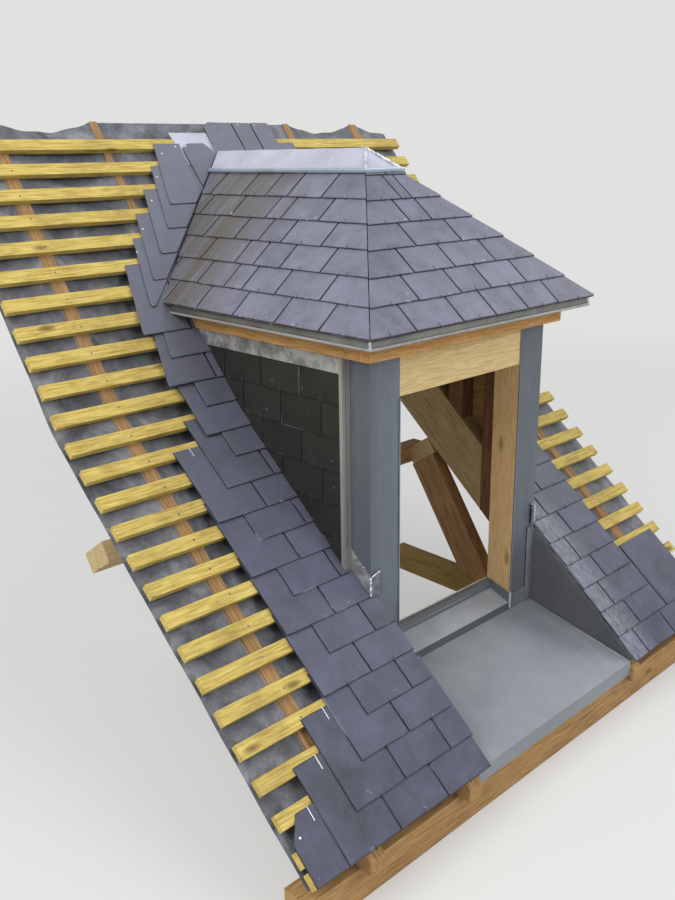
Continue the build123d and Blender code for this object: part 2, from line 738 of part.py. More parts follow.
# Battens and slates of the dormer roof
side_run = cos(radians(side_pitch))
tail_y = drip_y - slate_overhang * hip_run / drip_x
dormer_bands = [(start, start + batten_width) for start in
                [n * gauge + dormer_batten_start for n in range(dormer_batten_count)]]
side_battens = []
for name, side in sides.items():
    side_battens.append(slope_layer(
        side_slopes[name], batten_top, underlay_top,
        side_plan(side, 0, fascia_inner_x, gap=valley_width + sheet), dormer_bands))
    finish(f"side_slates_{name}", slope_layer(side_slopes[name], 0, slating, side_plan(
        side, 0, tail_x, gap=valley_gap)))
finish("side_battens", joined(*side_battens))
finish("front_battens", slope_layer(front_slope, batten_top, underlay_top,
                                    front_plan(fascia_back_y), dormer_bands))
finish("front_slates", slope_layer(front_slope, 0, slating, front_plan(tail_y)))

# Ridge cap, folded over the ridge and over the top of the hips, with a roll along its foot
cap_x = cap_width * side_run
roll_x = (cap_width - cap_roll) * side_run


def cap_foot(x):
    """Plan line, along the front, of a cap edge that runs at x along the sides."""
    return apex_y - x * hip_run / drip_x


cap_pieces = [slope_layer(front_slope, -cap_sheet, 0, front_plan(cap_foot(cap_x))),
              slope_layer(front_slope, -cap_roll, 0, outline(
                  (-cap_x, cap_foot(cap_x)), (cap_x, cap_foot(cap_x)),
                  (roll_x, cap_foot(roll_x)), (-roll_x, cap_foot(roll_x))))]
for name, side in sides.items():
    cap_pieces += [slope_layer(side_slopes[name], -cap_sheet, 0, side_plan(side, 0, cap_x, gap=cap_gap)),
                   slope_layer(side_slopes[name], -cap_roll, 0,
                               side_plan(side, roll_x, cap_x, gap=cap_gap))]
finish("ridge_cap", joined(*cap_pieces))
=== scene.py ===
import random
from math import atan2, cos, pi, radians, sin, tan

import bpy
from mathutils import Matrix, Vector


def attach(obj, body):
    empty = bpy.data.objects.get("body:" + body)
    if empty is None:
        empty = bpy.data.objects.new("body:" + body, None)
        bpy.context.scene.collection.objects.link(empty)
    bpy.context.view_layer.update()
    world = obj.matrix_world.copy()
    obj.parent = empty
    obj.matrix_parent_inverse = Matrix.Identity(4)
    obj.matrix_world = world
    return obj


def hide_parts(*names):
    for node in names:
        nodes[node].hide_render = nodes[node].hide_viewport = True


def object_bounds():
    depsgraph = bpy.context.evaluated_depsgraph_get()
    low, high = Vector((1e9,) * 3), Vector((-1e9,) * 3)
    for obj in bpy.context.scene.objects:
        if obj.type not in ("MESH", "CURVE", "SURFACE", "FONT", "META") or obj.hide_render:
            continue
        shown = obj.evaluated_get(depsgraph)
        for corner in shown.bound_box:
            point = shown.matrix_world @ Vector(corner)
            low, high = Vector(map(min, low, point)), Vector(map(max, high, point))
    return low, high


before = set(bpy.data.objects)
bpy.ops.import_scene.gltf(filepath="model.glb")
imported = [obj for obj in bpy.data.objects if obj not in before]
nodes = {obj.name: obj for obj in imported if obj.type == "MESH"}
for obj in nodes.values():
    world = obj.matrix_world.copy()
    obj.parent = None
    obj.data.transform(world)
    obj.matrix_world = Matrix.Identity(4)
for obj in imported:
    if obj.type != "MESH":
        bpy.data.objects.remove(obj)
cad_low, cad_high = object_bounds()

# View: the dormer is seen from its left and a little from above, from about 3 m away. The
# camera looks down by 18 degrees, with a slight roll and no shift.
view_turn = radians(-43.092)
view_fall = radians(17.844)
view_roll = radians(-0.935)
bpy.ops.object.camera_add(location=(-2.5899, -1.6640, 2.1759))
camera = bpy.context.object
turned = (Matrix.Rotation(view_turn, 4, "Z") @ Matrix.Rotation(pi / 2 - view_fall, 4, "X")
          @ Matrix.Rotation(view_roll, 4, "Z"))
camera.rotation_euler = turned.to_euler()
camera.data.sensor_width = 36
camera.data.lens = 36.83
camera.data.clip_end = 200
bpy.context.scene.camera = camera
bpy.context.scene.view_settings.view_transform = "Standard"


def linear(colour):
    """An sRGB hex colour as linear red, green, blue and alpha."""
    parts = [int(colour[at:at + 2], 16) / 255 for at in (0, 2, 4)]
    return [p / 12.92 if p <= 0.04045 else ((p + 0.055) / 1.055) ** 2.4 for p in parts] + [1]


def new_finish(name):
    """A material that is made of nodes."""
    material = bpy.data.materials.new(name)
    material.use_nodes = True
    return material


def set_node(material, name, stops=(), **inputs):
    """Gives a material's node its settings, the stops of its colour ramp, and a value, another
    node or one of its outputs for each socket."""
    node = material.node_tree.nodes[name]
    for share, colour in stops[1:-1]:
        node.color_ramp.elements.new(share)
    for number, (share, colour) in enumerate(stops):
        stop = node.color_ramp.elements[number]
        stop.position, stop.color = share, linear(colour)
    for key, value in inputs.items():
        if hasattr(node, key):
            setattr(node, key, value)
            continue
        socket = node.inputs[int(key[1:]) if key[1:].isdigit() else key.replace("_", " ")]
        if isinstance(value, bpy.types.Node):
            value = next(output for output in value.outputs if output.enabled)
        if isinstance(value, bpy.types.NodeSocket):
            material.node_tree.links.new(value, socket)
        else:
            socket.default_value = value
    return node


def add_node(material, kind, **inputs):
    """Adds a node to a material, with its settings and links."""
    return set_node(material, material.node_tree.nodes.new("ShaderNode" + kind).name, **inputs)


# Ground and light: a pale studio floor that runs out into the same pale tone as the sky,
# which is overcast, with one wide, soft lamp in front of the dormer and one on each side.
seen_tone = linear("e6e6e4")
seen_strength = 0.95
bpy.ops.object.select_all(action="DESELECT")
bpy.ops.mesh.primitive_circle_add(vertices=96, radius=40, fill_type="NGON",
                                  location=(0, 0, cad_low.z - 0.002))
floor = bpy.context.object
floor.name = "floor"
floor_paint = new_finish("pale_floor")
floor.data.materials.append(floor_paint)
floor_surface = set_node(floor_paint, "Principled BSDF", Base_Color=linear("dcdad6"), Roughness=0.9)
floor_glow = add_node(floor_paint, "Emission", Color=seen_tone, Strength=seen_strength)
floor_place = add_node(floor_paint, "TexCoord").outputs["Object"]
floor_reach = add_node(floor_paint, "VectorMath", operation="LENGTH", i0=floor_place)
floor_fade = add_node(floor_paint, "MapRange", Value=floor_reach, From_Min=2.5, From_Max=9.0, To_Min=0.45)
floor_share = add_node(floor_paint, "Math", operation="MULTIPLY", i1=floor_fade,
                       i0=add_node(floor_paint, "LightPath").outputs["Is Camera Ray"])
floor_seen = add_node(floor_paint, "MixShader", i0=floor_share, i1=floor_surface, i2=floor_glow)
set_node(floor_paint, "Material Output", Surface=floor_seen)

sky = bpy.data.worlds.new("overcast")
bpy.context.scene.world = sky
sky.use_nodes = True
daylight = set_node(sky, "Background", Color=linear("dfe6f0"), Strength=0.62)
seen_sky = add_node(sky, "Background", Color=seen_tone, Strength=seen_strength)
rays = add_node(sky, "LightPath").outputs
sharp_rays = add_node(sky, "Math", operation="ADD", i0=rays["Is Glossy Ray"], i1=rays["Is Transmission Ray"])
seen_rays = add_node(sky, "Math", operation="ADD", use_clamp=True, i0=rays["Is Camera Ray"], i1=sharp_rays)
mixed_sky = add_node(sky, "MixShader", i0=seen_rays, i1=daylight, i2=seen_sky)
set_node(sky, "World Output", Surface=mixed_sky)

for name, place, aim, power in (("front_lamp", (0.6, -5.2, 5.6), (0, 0.8, 1.0), 210),
                                ("left_lamp", (-5.0, 0.4, 5.6), (0, 0.9, 1.2), 315),
                                ("right_lamp", (5.2, -0.6, 4.6), (0, 0.8, 1.2), 95)):
    bpy.ops.object.light_add(type="AREA", location=place)
    lamp = bpy.context.object
    lamp.name = name
    lamp.data.size = 4.0
    lamp.data.energy = power
    lamp.rotation_euler = (Vector(aim) - Vector(place)).to_track_quat("-Z", "Y").to_euler()

# Structural timbers: sawn spruce rafters, purlins, struts, joists, bearers and the wall
# plate. Fresh from the saw they are tan with brown growth lines along the timber and knots.
lower_pitch = radians(40.43)
upper_pitch = radians(52.0)
strut_pitch = radians(56.3)
dormer_pitch = radians(41.3)


def sawn_timber(name, pale, dark, knot, along=(0, 0, 0), grain=0.007, dirt=0.25):
    """Sawn softwood whose grain runs along a timber that is turned from X by these angles."""
    wood = new_finish(name)
    place = add_node(wood, "TexCoord").outputs["Object"]
    lined_up = add_node(wood, "Mapping", vector_type="TEXTURE", Vector=place, Rotation=along)
    stretched = add_node(wood, "Mapping", Vector=lined_up, Scale=(0.06, 1, 1))
    swirl = add_node(wood, "TexNoise", Vector=stretched, Scale=14.0, Detail=3.0, Roughness=0.5)
    bent = add_node(wood, "VectorMath", operation="MULTIPLY_ADD", i0=swirl.outputs["Color"],
                    i1=(0.02, 0.05, 0.05), i2=stretched)
    rings = add_node(wood, "TexNoise", Vector=bent, Scale=1 / grain, Detail=4.0, Roughness=0.62)
    tone = add_node(wood, "ValToRGB", Fac=rings, stops=((0.34, dark), (0.62, pale)))
    knots = add_node(wood, "Mapping", Vector=lined_up, Scale=(3.2, 9, 9))
    cells = add_node(wood, "TexVoronoi", Vector=knots, Scale=1.0, Randomness=1.0)
    rim = add_node(wood, "MapRange", Value=cells, From_Min=0.05, From_Max=0.14, To_Min=0.85, To_Max=0.0)
    blots = add_node(wood, "TexNoise", Vector=place, Scale=5.5, Detail=6.0, Roughness=0.7)
    soiled = add_node(wood, "MapRange", Value=blots, From_Min=0.45, From_Max=0.75, To_Max=dirt)
    colour = tone
    for share in (rim, soiled):
        colour = add_node(wood, "Mix", data_type="RGBA", i0=share, i6=colour, i7=linear(knot))
    saw_lines = add_node(wood, "Mapping", Vector=lined_up, Scale=(420, 60, 60))
    saw_marks = add_node(wood, "TexNoise", Vector=saw_lines, Scale=1.0, Detail=2.0)
    relief = add_node(wood, "Math", operation="MULTIPLY_ADD", i0=rings, i1=0.7, i2=saw_marks)
    bump = add_node(wood, "Bump", Strength=0.35, Distance=0.0012, Height=relief)
    set_node(wood, "Principled BSDF", Base_Color=colour, Normal=bump, Roughness=0.78, Specular_IOR_Level=0.3)
    return wood


def finish_nodes(material, slot, *names):
    """Gives frame nodes their material. Slot, the finish it stands for, is not used."""
    for name in names:
        piece = nodes[name]
        piece.data.materials.clear()
        piece.data.materials.append(material)


along_y = (0, 0, pi / 2)
along_z = (0, -pi / 2, 0)


def up_slope(pitch):
    """Turn of a timber that rises into the roof at a pitch."""
    return (0, -pitch, pi / 2)


rafter_tones = ("b8925f", "8f6a40", "5f4026")
for name, tones, along, timbers in (
        ("across", rafter_tones, (0, 0, 0),
         ("wall_plate", "head_trimmer", "cross_beam", "sill_beam", "tray_deck")),
        ("end_grain", ("c9b184", "a98f63", "6b5236"), (0, 0, 0), ("purlins",)),
        ("inward", rafter_tones, along_y, ("tray_bearers", "ridge_board", "cheek_boards_left",
                                           "cheek_boards_right", "valley_boards", "cheek_rails")),
        ("joists", ("a58a4a", "806431", "55401f"), along_y, ("joists",)),
        ("lower_rafters", rafter_tones, up_slope(lower_pitch), ("lower_rafters", "front_rafters")),
        ("trimmers", ("b59c70", "8f754d", "5f4c30"), up_slope(lower_pitch), ("raking_trimmers",)),
        ("upper_rafters", rafter_tones, up_slope(upper_pitch), ("upper_rafters",)),
        ("struts", ("ac8557", "7d5937", "50391f"), up_slope(strut_pitch), ("struts",)),
        ("dormer_rafters", rafter_tones, (0, -dormer_pitch, 0), ("side_rafters", "hip_rafters"))):
    finish_nodes(sawn_timber(f"spruce_{name}", *tones, along=along), "rafter_timber", *timbers)

# Battens: 25 by 50 mm sawn pine, dipped in yellow preservative, which takes unevenly and
# leaves brown mottling. They are nailed to each rafter through the felt.
batten_tones = ("d3bd6a", "a98d43", "6e5730")
finish_nodes(sawn_timber("yellow_batten", *batten_tones, grain=0.006, dirt=0.5),
             "batten_timber", "main_battens", "front_battens")
finish_nodes(sawn_timber("yellow_batten_inward", *batten_tones, along=along_y, grain=0.006, dirt=0.5),
             "batten_timber", "side_battens")

# Slates: natural roofing slate 320 by 220 mm, riven from the block and dressed with a
# knife, so that its face is slightly uneven and its edges are chipped and paler. They are
# laid in half bond with three thicknesses at each tail, and hang on stainless wire hooks.
slate_width = 0.220
slate_length = 0.320
slate_thickness = 0.0055
gauge = 0.115
slating = 0.014
slate_joint = 0.0055
dressed_rim = 0.0048
rim_fall = 0.0014
chance = random.Random(7)
made_hooks = []


def take(*pieces):
    """Selects these pieces alone, with the first one in hand."""
    bpy.ops.object.select_all(action="DESELECT")
    for piece in pieces:
        piece.select_set(True)
    if pieces:
        bpy.context.view_layer.objects.active = pieces[0]


def flat_sheet(name, columns, rows):
    """A flat square of 1 m in so many fields, to be bent into a sheet."""
    take()
    bpy.ops.mesh.primitive_grid_add(x_subdivisions=columns, y_subdivisions=rows, size=1)
    bpy.context.object.name = name
    return bpy.context.object


def settle():
    """Puts the place, turn and size of the piece in hand into its mesh."""
    bpy.ops.object.transform_apply(location=True, rotation=True, scale=True)


def face_outwards(merge=0, bevel=0):
    """Turns the faces of the piece in hand outwards, with its doubles merged and edges bevelled."""
    bpy.ops.object.mode_set(mode="EDIT")
    bpy.ops.mesh.select_all(action="SELECT")
    if merge:
        bpy.ops.mesh.remove_doubles(threshold=merge)
    bpy.ops.mesh.normals_make_consistent(inside=False)
    if bevel:
        bpy.ops.mesh.bevel(offset=bevel, segments=1)
    bpy.ops.object.mode_set(mode="OBJECT")


whole_slate = flat_sheet("whole_slate", 5, 7)
whole_slate.scale = (slate_width, slate_length, 1)
whole_slate.location = (slate_width / 2, slate_length / 2, 0)
settle()
bpy.ops.object.mode_set(mode="EDIT")
bpy.ops.mesh.select_all(action="SELECT")
bpy.ops.mesh.extrude_region_move(TRANSFORM_OT_translate={"value": (0, 0, slate_thickness)})
bpy.ops.mesh.inset(thickness=dressed_rim)
bpy.ops.object.mode_set(mode="OBJECT")


def on_rim(point):
    """Whether a point of the whole slate lies on its outline."""
    return min(point.x, slate_width - point.x, point.y, slate_length - point.y) < 0.001


marks = whole_slate.data.attributes
for mark in ("dressed", "shade", "tailward"):
    marks.new(mark, "FLOAT", "POINT")
for number, vertex in enumerate(whole_slate.data.vertices):
    marks["tailward"].data[number].value = 1 - vertex.co.y / slate_length
    if on_rim(vertex.co):
        marks["dressed"].data[number].value = 1
        if vertex.co.z > slate_thickness / 2:
            vertex.co.z -= rim_fall
face_outwards()

# Wire hook: it comes down between two slates, turns round the tail of the slate above and
# shows as a short dark tick.
hook_line = [(0, 0.045, -0.0012), (0, -0.0022, -0.0012), (0, -0.0036, slate_thickness / 2),
             (0, -0.0022, slate_thickness + 0.0010), (0, 0.0160, slate_thickness + 0.0012)]


def round_bar(name, line, radius, rounds=1):
    """A wire or a rolled edge along a line of points, as a mesh."""
    curve = bpy.data.curves.new(name, "CURVE")
    curve.dimensions = "3D"
    curve.bevel_depth = radius
    curve.bevel_resolution = rounds
    curve.use_fill_caps = True
    spline = curve.splines.new("POLY")
    spline.points.add(len(line) - 1)
    for point, place in zip(spline.points, line):
        point.co = (*place, 1)
    bar = bpy.data.objects.new(name, curve)
    bpy.context.collection.objects.link(bar)
    take(bar)
    bpy.ops.object.convert(target="MESH")
    return bpy.context.object


wire_hook = round_bar("wire_hook", hook_line, 0.0014)


def cut(piece, place, outward, closed=True):
    """Cuts off what lies beyond a plane, and closes the cut of a closed piece."""
    take(piece)
    bpy.ops.object.mode_set(mode="EDIT")
    bpy.ops.mesh.select_all(action="SELECT")
    bpy.ops.mesh.bisect(plane_co=place, plane_no=outward, use_fill=closed, clear_outer=True)
    bpy.ops.object.mode_set(mode="OBJECT")


def cut_where_needed(piece, cuts):
    """Cuts a piece by each plane that crosses it. Nothing is left of one that lies beyond."""
    for place, outward in cuts:
        distances = [(vertex.co - Vector(place)).dot(Vector(outward)) for vertex in piece.data.vertices]
        if min(distances) > -0.004:
            bpy.data.objects.remove(piece)
            return None
        if max(distances) > 0.0002:
            cut(piece, place, outward)
    return piece


class Slope:
    """A face that is slated. Point_at gives a point of it, so far up from where its slating
    starts, and along runs level to the right as seen from outside."""

    def __init__(self, point_at, along):
        self.point_at = point_at
        self.along = Vector(along)
        self.tails = {}

    def rest(self, course, tail, length, thickness):
        """Where a course's underside rests at its tail and at its head, stacked on the last ones."""
        head_point = self.point_at(tail + length)
        base = self.point_at(tail)
        up = (self.point_at(tail + 0.001) - base).normalized()
        normal = self.along.cross(up)
        lift = 0.0
        for other_tail, tail_point, other_head in self.tails.values():
            run = other_head - tail_point
            if other_tail < tail + 0.001 and (base - tail_point).dot(up) < run.dot(up):
                share = (base - tail_point).dot(up) / run.dot(up)
                lift = max(lift, (tail_point + run * share - base).dot(normal) + thickness)
        tail_point = base + normal * lift
        self.tails[course] = (tail, tail_point, head_point)
        return tail_point, head_point


def lay_slate(name, slope, ends, left, right, cuts=(), hooked=True):
    """Lays one slate between two places along its course, and hooks its tail."""
    tail_point, head_point = ends
    length = (head_point - tail_point).length
    width = right - left - slate_joint
    up = (head_point - tail_point).normalized()
    normal = slope.along.cross(up)
    turn = chance.gauss(0, 0.0022)
    along = (slope.along + up * turn).normalized()
    up = normal.cross(along)
    start = tail_point + slope.along * (left + slate_joint / 2) + up * chance.uniform(0.0022, 0.0046)
    start += normal * chance.uniform(0, 0.0004)
    mesh = whole_slate.data.copy()
    tone = chance.random()
    for number, vertex in enumerate(mesh.vertices):
        mesh.attributes["shade"].data[number].value = tone
        x, y, z = vertex.co
        if on_rim(vertex.co):
            x += chance.uniform(-0.0007, 0.0007)
            y += chance.uniform(-0.0009, 0.0009)
        vertex.co = (start + along * (x * width / slate_width) + up * (y * length / slate_length)
                     + normal * z)
    piece = bpy.data.objects.new(name, mesh)
    bpy.context.collection.objects.link(piece)
    if cuts:
        piece = cut_where_needed(piece, cuts)
    made = [piece] if piece else []
    middle = start + along * (width / 2)
    inside = all((middle - Vector(place)).dot(Vector(outward)) < -0.02 for place, outward in cuts)
    if piece and hooked and inside:
        hook = bpy.data.objects.new(name + "_hook", wire_hook.data.copy())
        hook.data.transform(Matrix.Translation(middle) @ Matrix(
            [(along.x, up.x, normal.x, 0), (along.y, up.y, normal.y, 0),
             (along.z, up.z, normal.z, 0), (0, 0, 0, 1)]))
        bpy.context.collection.objects.link(hook)
        made_hooks.append(hook)
    return made


def joined(name, pieces):
    """Many like pieces as one mesh."""
    take(*pieces)
    bpy.ops.object.join()
    bpy.context.object.name = name
    return bpy.context.object


def riven_slate(name, dark, pale, chip, roughness=0.42, gloss=0.5, sheen_and_scuffs=0.0, wash=0.0, knocks=0.66):
    """Natural slate: each one has its own tone, with cloudy and streaky riving. Its dressed
    rim and edge faces are painted dark for the shadow at its tail and in its joints, with pale
    chips near the tail, and pale edges where it was knocked. The sheen amount pales the higher
    slates as painted sheen and turns on the pale scuffs of those trodden beside the tray, and
    wash is how brown the rain from above has left the ones at the back."""
    stone = new_finish(name)
    shade, rim, tail = [add_node(stone, "Attribute", attribute_name=mark).outputs["Fac"]
                        for mark in ("shade", "dressed", "tailward")]
    place = add_node(stone, "TexCoord").outputs["Object"]
    apart = add_node(stone, "SeparateXYZ", Vector=place).outputs
    seed = add_node(stone, "Math", operation="MULTIPLY", i0=shade, i1=37.0)
    own = {"noise_dimensions": "4D", "W": seed}
    clouds = add_node(stone, "TexNoise", **own, Vector=place, Scale=9.0, Detail=6.0, Roughness=0.62)
    turned_place = add_node(stone, "Mapping", Vector=place, Rotation=(0, 0, 0.35), Scale=(60, 26, 40))
    riving = add_node(stone, "TexNoise", **own, Vector=turned_place, Scale=1.0,
                      Detail=5.0, Roughness=0.66, Distortion=0.8)
    mixed = add_node(stone, "Math", operation="MULTIPLY_ADD", i0=riving, i1=0.35, i2=clouds)
    varied = add_node(stone, "Math", operation="MULTIPLY_ADD", i0=shade, i1=0.18, i2=mixed)
    tone = add_node(stone, "ValToRGB", Fac=varied, stops=((0.47, dark), (0.99, pale)))
    layers = []
    if sheen_and_scuffs:
        # Painted sheen: the slates are paled towards the chip colour with height, for the brighter sheen of
        # the higher slates.
        height = add_node(stone, "MapRange", Value=apart["Z"], From_Min=0.3, From_Max=2.2, To_Max=sheen_and_scuffs)
        layers.append((height, linear(chip)))
        trodden = add_node(stone, "MapRange", Value=apart["X"], From_Min=0.68, From_Max=0.56)
        scuffs = add_node(stone, "MapRange", Value=riving, From_Min=0.30, From_Max=0.62)
        only_right = add_node(stone, "Math", operation="GREATER_THAN", i0=apart["X"], i1=0.4)
        low_down = add_node(stone, "MapRange", Value=apart["Z"], From_Min=0.80, From_Max=0.70, To_Max=0.66)
        rubbed = trodden
        for share in (scuffs, only_right, low_down):
            rubbed = add_node(stone, "Math", operation="MULTIPLY", i0=rubbed, i1=share)
        layers.append((rubbed, linear("92939c")))
    if wash:
        run_off = add_node(stone, "Mapping", Vector=place, Scale=(0.7, 11, 0.7))
        streaks = add_node(stone, "TexNoise", Vector=run_off, Scale=1.6, Detail=5.0, Roughness=0.6)
        behind = add_node(stone, "MapRange", Value=apart["Y"], From_Min=1.03, From_Max=1.38, To_Max=wash)
        browned = add_node(stone, "MapRange", Value=streaks, From_Min=0.31, From_Max=0.58)
        brown = add_node(stone, "Math", operation="MULTIPLY", i0=behind, i1=browned)
        layers.append((brown, linear("56524b")))
    # Painted shade: the dressed rim and the edge faces are darkened to near black for the shadow under each
    # tail and in the joints. Where the rim was knocked, it shows the pale chip colour instead.
    edge = add_node(stone, "MapRange", Value=rim, From_Min=0.30, From_Max=0.95, To_Max=0.85)
    wear = add_node(stone, "TexNoise", **own, Vector=place, Scale=5.0, Detail=3.0, Roughness=0.6)
    knocked = add_node(stone, "MapRange", Value=wear, From_Min=knocks, From_Max=knocks + 0.06)
    rim_shade_and_chips = add_node(stone, "Mix", data_type="RGBA", i0=knocked, i6=linear("18181c"), i7=linear(chip))
    layers.append((edge, rim_shade_and_chips))
    flakes = add_node(stone, "TexNoise", **own, Vector=place, Scale=42.0, Detail=4.0, Roughness=0.7)
    chips = add_node(stone, "Math", operation="MULTIPLY_ADD", i0=tail, i1=0.30, i2=flakes)
    chipped = add_node(stone, "MapRange", Value=chips, From_Min=0.90, From_Max=1.00, To_Max=0.75)
    layers.append((chipped, linear(chip)))
    colour = tone
    for share, over in layers:
        colour = add_node(stone, "Mix", data_type="RGBA", i0=share, i6=colour, i7=over)
    bump = add_node(stone, "Bump", Strength=0.45, Distance=0.0022, Height=riving)
    set_node(stone, "Principled BSDF", Base_Color=colour, Normal=bump, Roughness=roughness,
             Specular_IOR_Level=gloss)
    return stone


hook_wire = new_finish("hook_wire")
wire_place = add_node(hook_wire, "TexCoord").outputs["Object"]
wire_grime = add_node(hook_wire, "TexNoise", Vector=wire_place, Scale=90.0)
wire_tone = add_node(hook_wire, "ValToRGB", Fac=wire_grime, stops=((0, "3a3a3e"), (1, "8d8f93")))
set_node(hook_wire, "Principled BSDF", Base_Color=wire_tone, Metallic=0.8, Roughness=0.4)


def dressed_piece(piece, material, node=None):
    """Gives a new piece its finish and its place in the frame."""
    piece.data.materials.clear()
    piece.data.materials.append(material)
    if node:
        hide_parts(node)
    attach(piece, "root")


def slating_piece(name, slates, node, stone):
    """A slated face and its hooks as two pieces in place of a frame node."""
    dressed_piece(joined(name, slates), stone, node)
    dressed_piece(joined(name + "_hooks", made_hooks), hook_wire)
    made_hooks.clear()


# Main roof: the lower slope runs up to the bend and a steeper one on from there. The
# slates lie beside the tray, then against the cheek, and end in the valleys higher up.
eaves_y = -0.106
eaves_z = 0.220
bend_y = 1.170
bend_run = (bend_y - eaves_y) / cos(lower_pitch)
bend_z = eaves_z + bend_run * sin(lower_pitch)


def main_point(run, depth=slating, x=0):
    """A point on the main roof, some way up from its eaves and below its slates' faces."""
    if run < bend_run:
        pitch, y, z = lower_pitch, eaves_y + run * cos(lower_pitch), eaves_z + run * sin(lower_pitch)
    else:
        on = run - bend_run
        pitch, y, z = upper_pitch, bend_y + on * cos(upper_pitch), bend_z + on * sin(upper_pitch)
    return Vector((x, y + depth * sin(pitch), z - depth * cos(pitch)))


ridge_half_width = 0.607
roof_rise = 0.534
drip_top_z = 1.637
side_pitch = atan2(roof_rise, ridge_half_width)
ridge_slate_z = drip_top_z + slating / cos(side_pitch) + roof_rise
valley_head_y = bend_y + (ridge_slate_z - bend_z) / tan(upper_pitch)
valley_turn = roof_rise / ridge_half_width / tan(upper_pitch)


def valley_plane(side, gap):
    """The upright plane of a valley, moved square to it by a gap away from the dormer."""
    normal = Vector((side * valley_turn, 1, 0)).normalized()
    return Vector((0, valley_head_y, 0)) + normal * gap, normal


# Underlay: black bitumen felt rolled out over the rafters, which sags between them and is
# dusty. A thin lath along each rafter holds it down, and the battens lie across the laths.
felt_depth = 0.0415
lath_width = 0.050
lath_thickness = 0.0025
inner_rafter = (0.489, 0.549)
outer_rafter = (0.955, 1.015)
next_rafter = 1.48
collar_x = 1.2298
collar_back = (Vector((0, 2.0095, 0)), Vector((0, 1, 0)))
felt_inner_x = 0.508
felt_start = 0.014
felt_end = 3.012
felt_sag = 0.022
upper_felt_start = 1.9
felt_valley_gap = 0.0225
sides = (("left", -1), ("right", 1))
felt = new_finish("bitumen_felt")
felt_place = add_node(felt, "TexCoord").outputs["Object"]
felt_dust = add_node(felt, "TexNoise", Vector=felt_place, Scale=7.0, Detail=7.0, Roughness=0.68,
                     Distortion=0.6)
felt_tone = add_node(felt, "ValToRGB", Fac=felt_dust,
                     stops=((0.36, "424449"), (0.52, "64656b"), (0.70, "8a8b90")))
felt_folds = add_node(felt, "Mapping", Vector=felt_place, Scale=(26, 5, 5))
felt_ripples = add_node(felt, "TexNoise", Vector=felt_folds, Scale=1.0, Detail=4.0)
felt_bump = add_node(felt, "Bump", Strength=0.8, Distance=0.012, Height=felt_ripples)
set_node(felt, "Principled BSDF", Base_Color=felt_tone, Normal=felt_bump, Roughness=0.62)


def felt_hang(x):
    """How far the felt hangs down at a distance from the dormer's centre line."""
    for near, far in ((inner_rafter[1], outer_rafter[0]), (outer_rafter[1], next_rafter)):
        if near < x < far:
            return felt_sag * sin(pi * (x - near) / (far - near)) ** 0.7
    return 0.0


def felt_sheet(name, side, from_x, to_x, from_run, to_run, columns, rows):
    """One width of felt on the main roof, with its ripples."""
    sheet = flat_sheet(name, columns, rows)
    for vertex in sheet.data.vertices:
        x = from_x + (vertex.co.x + 0.5) * (to_x - from_x)
        run = from_run + (vertex.co.y + 0.5) * (to_run - from_run)
        hang = felt_hang(x)
        ripple = hang * 0.28 * (sin(run * 21 + x * 5) + sin(run * 9.3 - x * 14) + sin(x * 47 + run * 3))
        vertex.co = main_point(run, felt_depth + hang - ripple / 3, side * x)
    return sheet


def face_up(sheet):
    """Turns the faces of an open sheet up."""
    if sum(polygon.normal.z for polygon in sheet.data.polygons) < 0:
        sheet.data.flip_normals()


for name, side in sides:
    lower = felt_sheet("lower_felt", side, felt_inner_x, collar_x, felt_start, felt_end, 36, 70)
    upper = felt_sheet("upper_felt", side, 0.0, felt_inner_x, upper_felt_start, felt_end, 8, 24)
    place, outward = valley_plane(side, felt_valley_gap)
    cut(upper, place, -outward, closed=False)
    draped = joined(f"felt_{name}", [lower, upper])
    face_outwards(merge=0.0004)
    face_up(draped)
    thick = draped.modifiers.new("felt", "SOLIDIFY")
    thick.thickness = 0.0008
    bpy.ops.object.modifier_apply(modifier="felt")
    cut(draped, *collar_back)
    bpy.ops.object.shade_smooth_by_angle(angle=radians(40))
    dressed_piece(draped, felt, f"underlay_{name}")

lath_faces = (("lower", lower_pitch, felt_start, bend_run), ("upper", upper_pitch, bend_run, felt_end))
lath_wood = {face: sawn_timber("spruce_lath", "a98458", "7f6240", "5a4028", along=up_slope(pitch))
             for face, pitch, from_run, to_run in lath_faces}
for side_name, side in sides:
    for rafter_name, rafter in (("inner", inner_rafter), ("outer", outer_rafter)):
        for face, pitch, from_run, to_run in lath_faces:
            if (side_name, rafter_name, face) == ("left", "inner", "lower"):
                continue
            take()
            bpy.ops.mesh.primitive_cube_add(size=1)
            lath = bpy.context.object
            lath.name = f"{face}_{rafter_name}_lath_{side_name}"
            for vertex in lath.data.vertices:
                run = to_run if vertex.co.y > 0 else from_run
                depth = felt_depth - 0.0006 - (lath_thickness if vertex.co.z > 0 else 0)
                x = side * sum(rafter) / 2 + vertex.co.x * lath_width
                if rafter_name == "inner" and abs(x) < felt_inner_x:
                    x = side * felt_inner_x
                vertex.co = main_point(run, depth, x)
            face_outwards(bevel=0.0006)
            cut(lath, *collar_back)
            dressed_piece(lath, lath_wood[face])

# Main roof slates beside the dormer: darker than the dormer's own, paled higher up the roof as
# painted sheen, and scuffed pale where they were trodden. The ones next to it are notched round
# the post and the cheek.
strip_slate = riven_slate("blue_black_slate", "33343d", "53556a", "84868e", roughness=0.5,
                          gloss=0.4, sheen_and_scuffs=0.50, knocks=0.60)
cheek_wall_x = 0.509
beside_bands = ((-1.0, 0.419, None), (0.419, 0.516, 0.491), (0.516, 3.0, cheek_wall_x))
sliver = 0.012
valley_start_y = 1.40


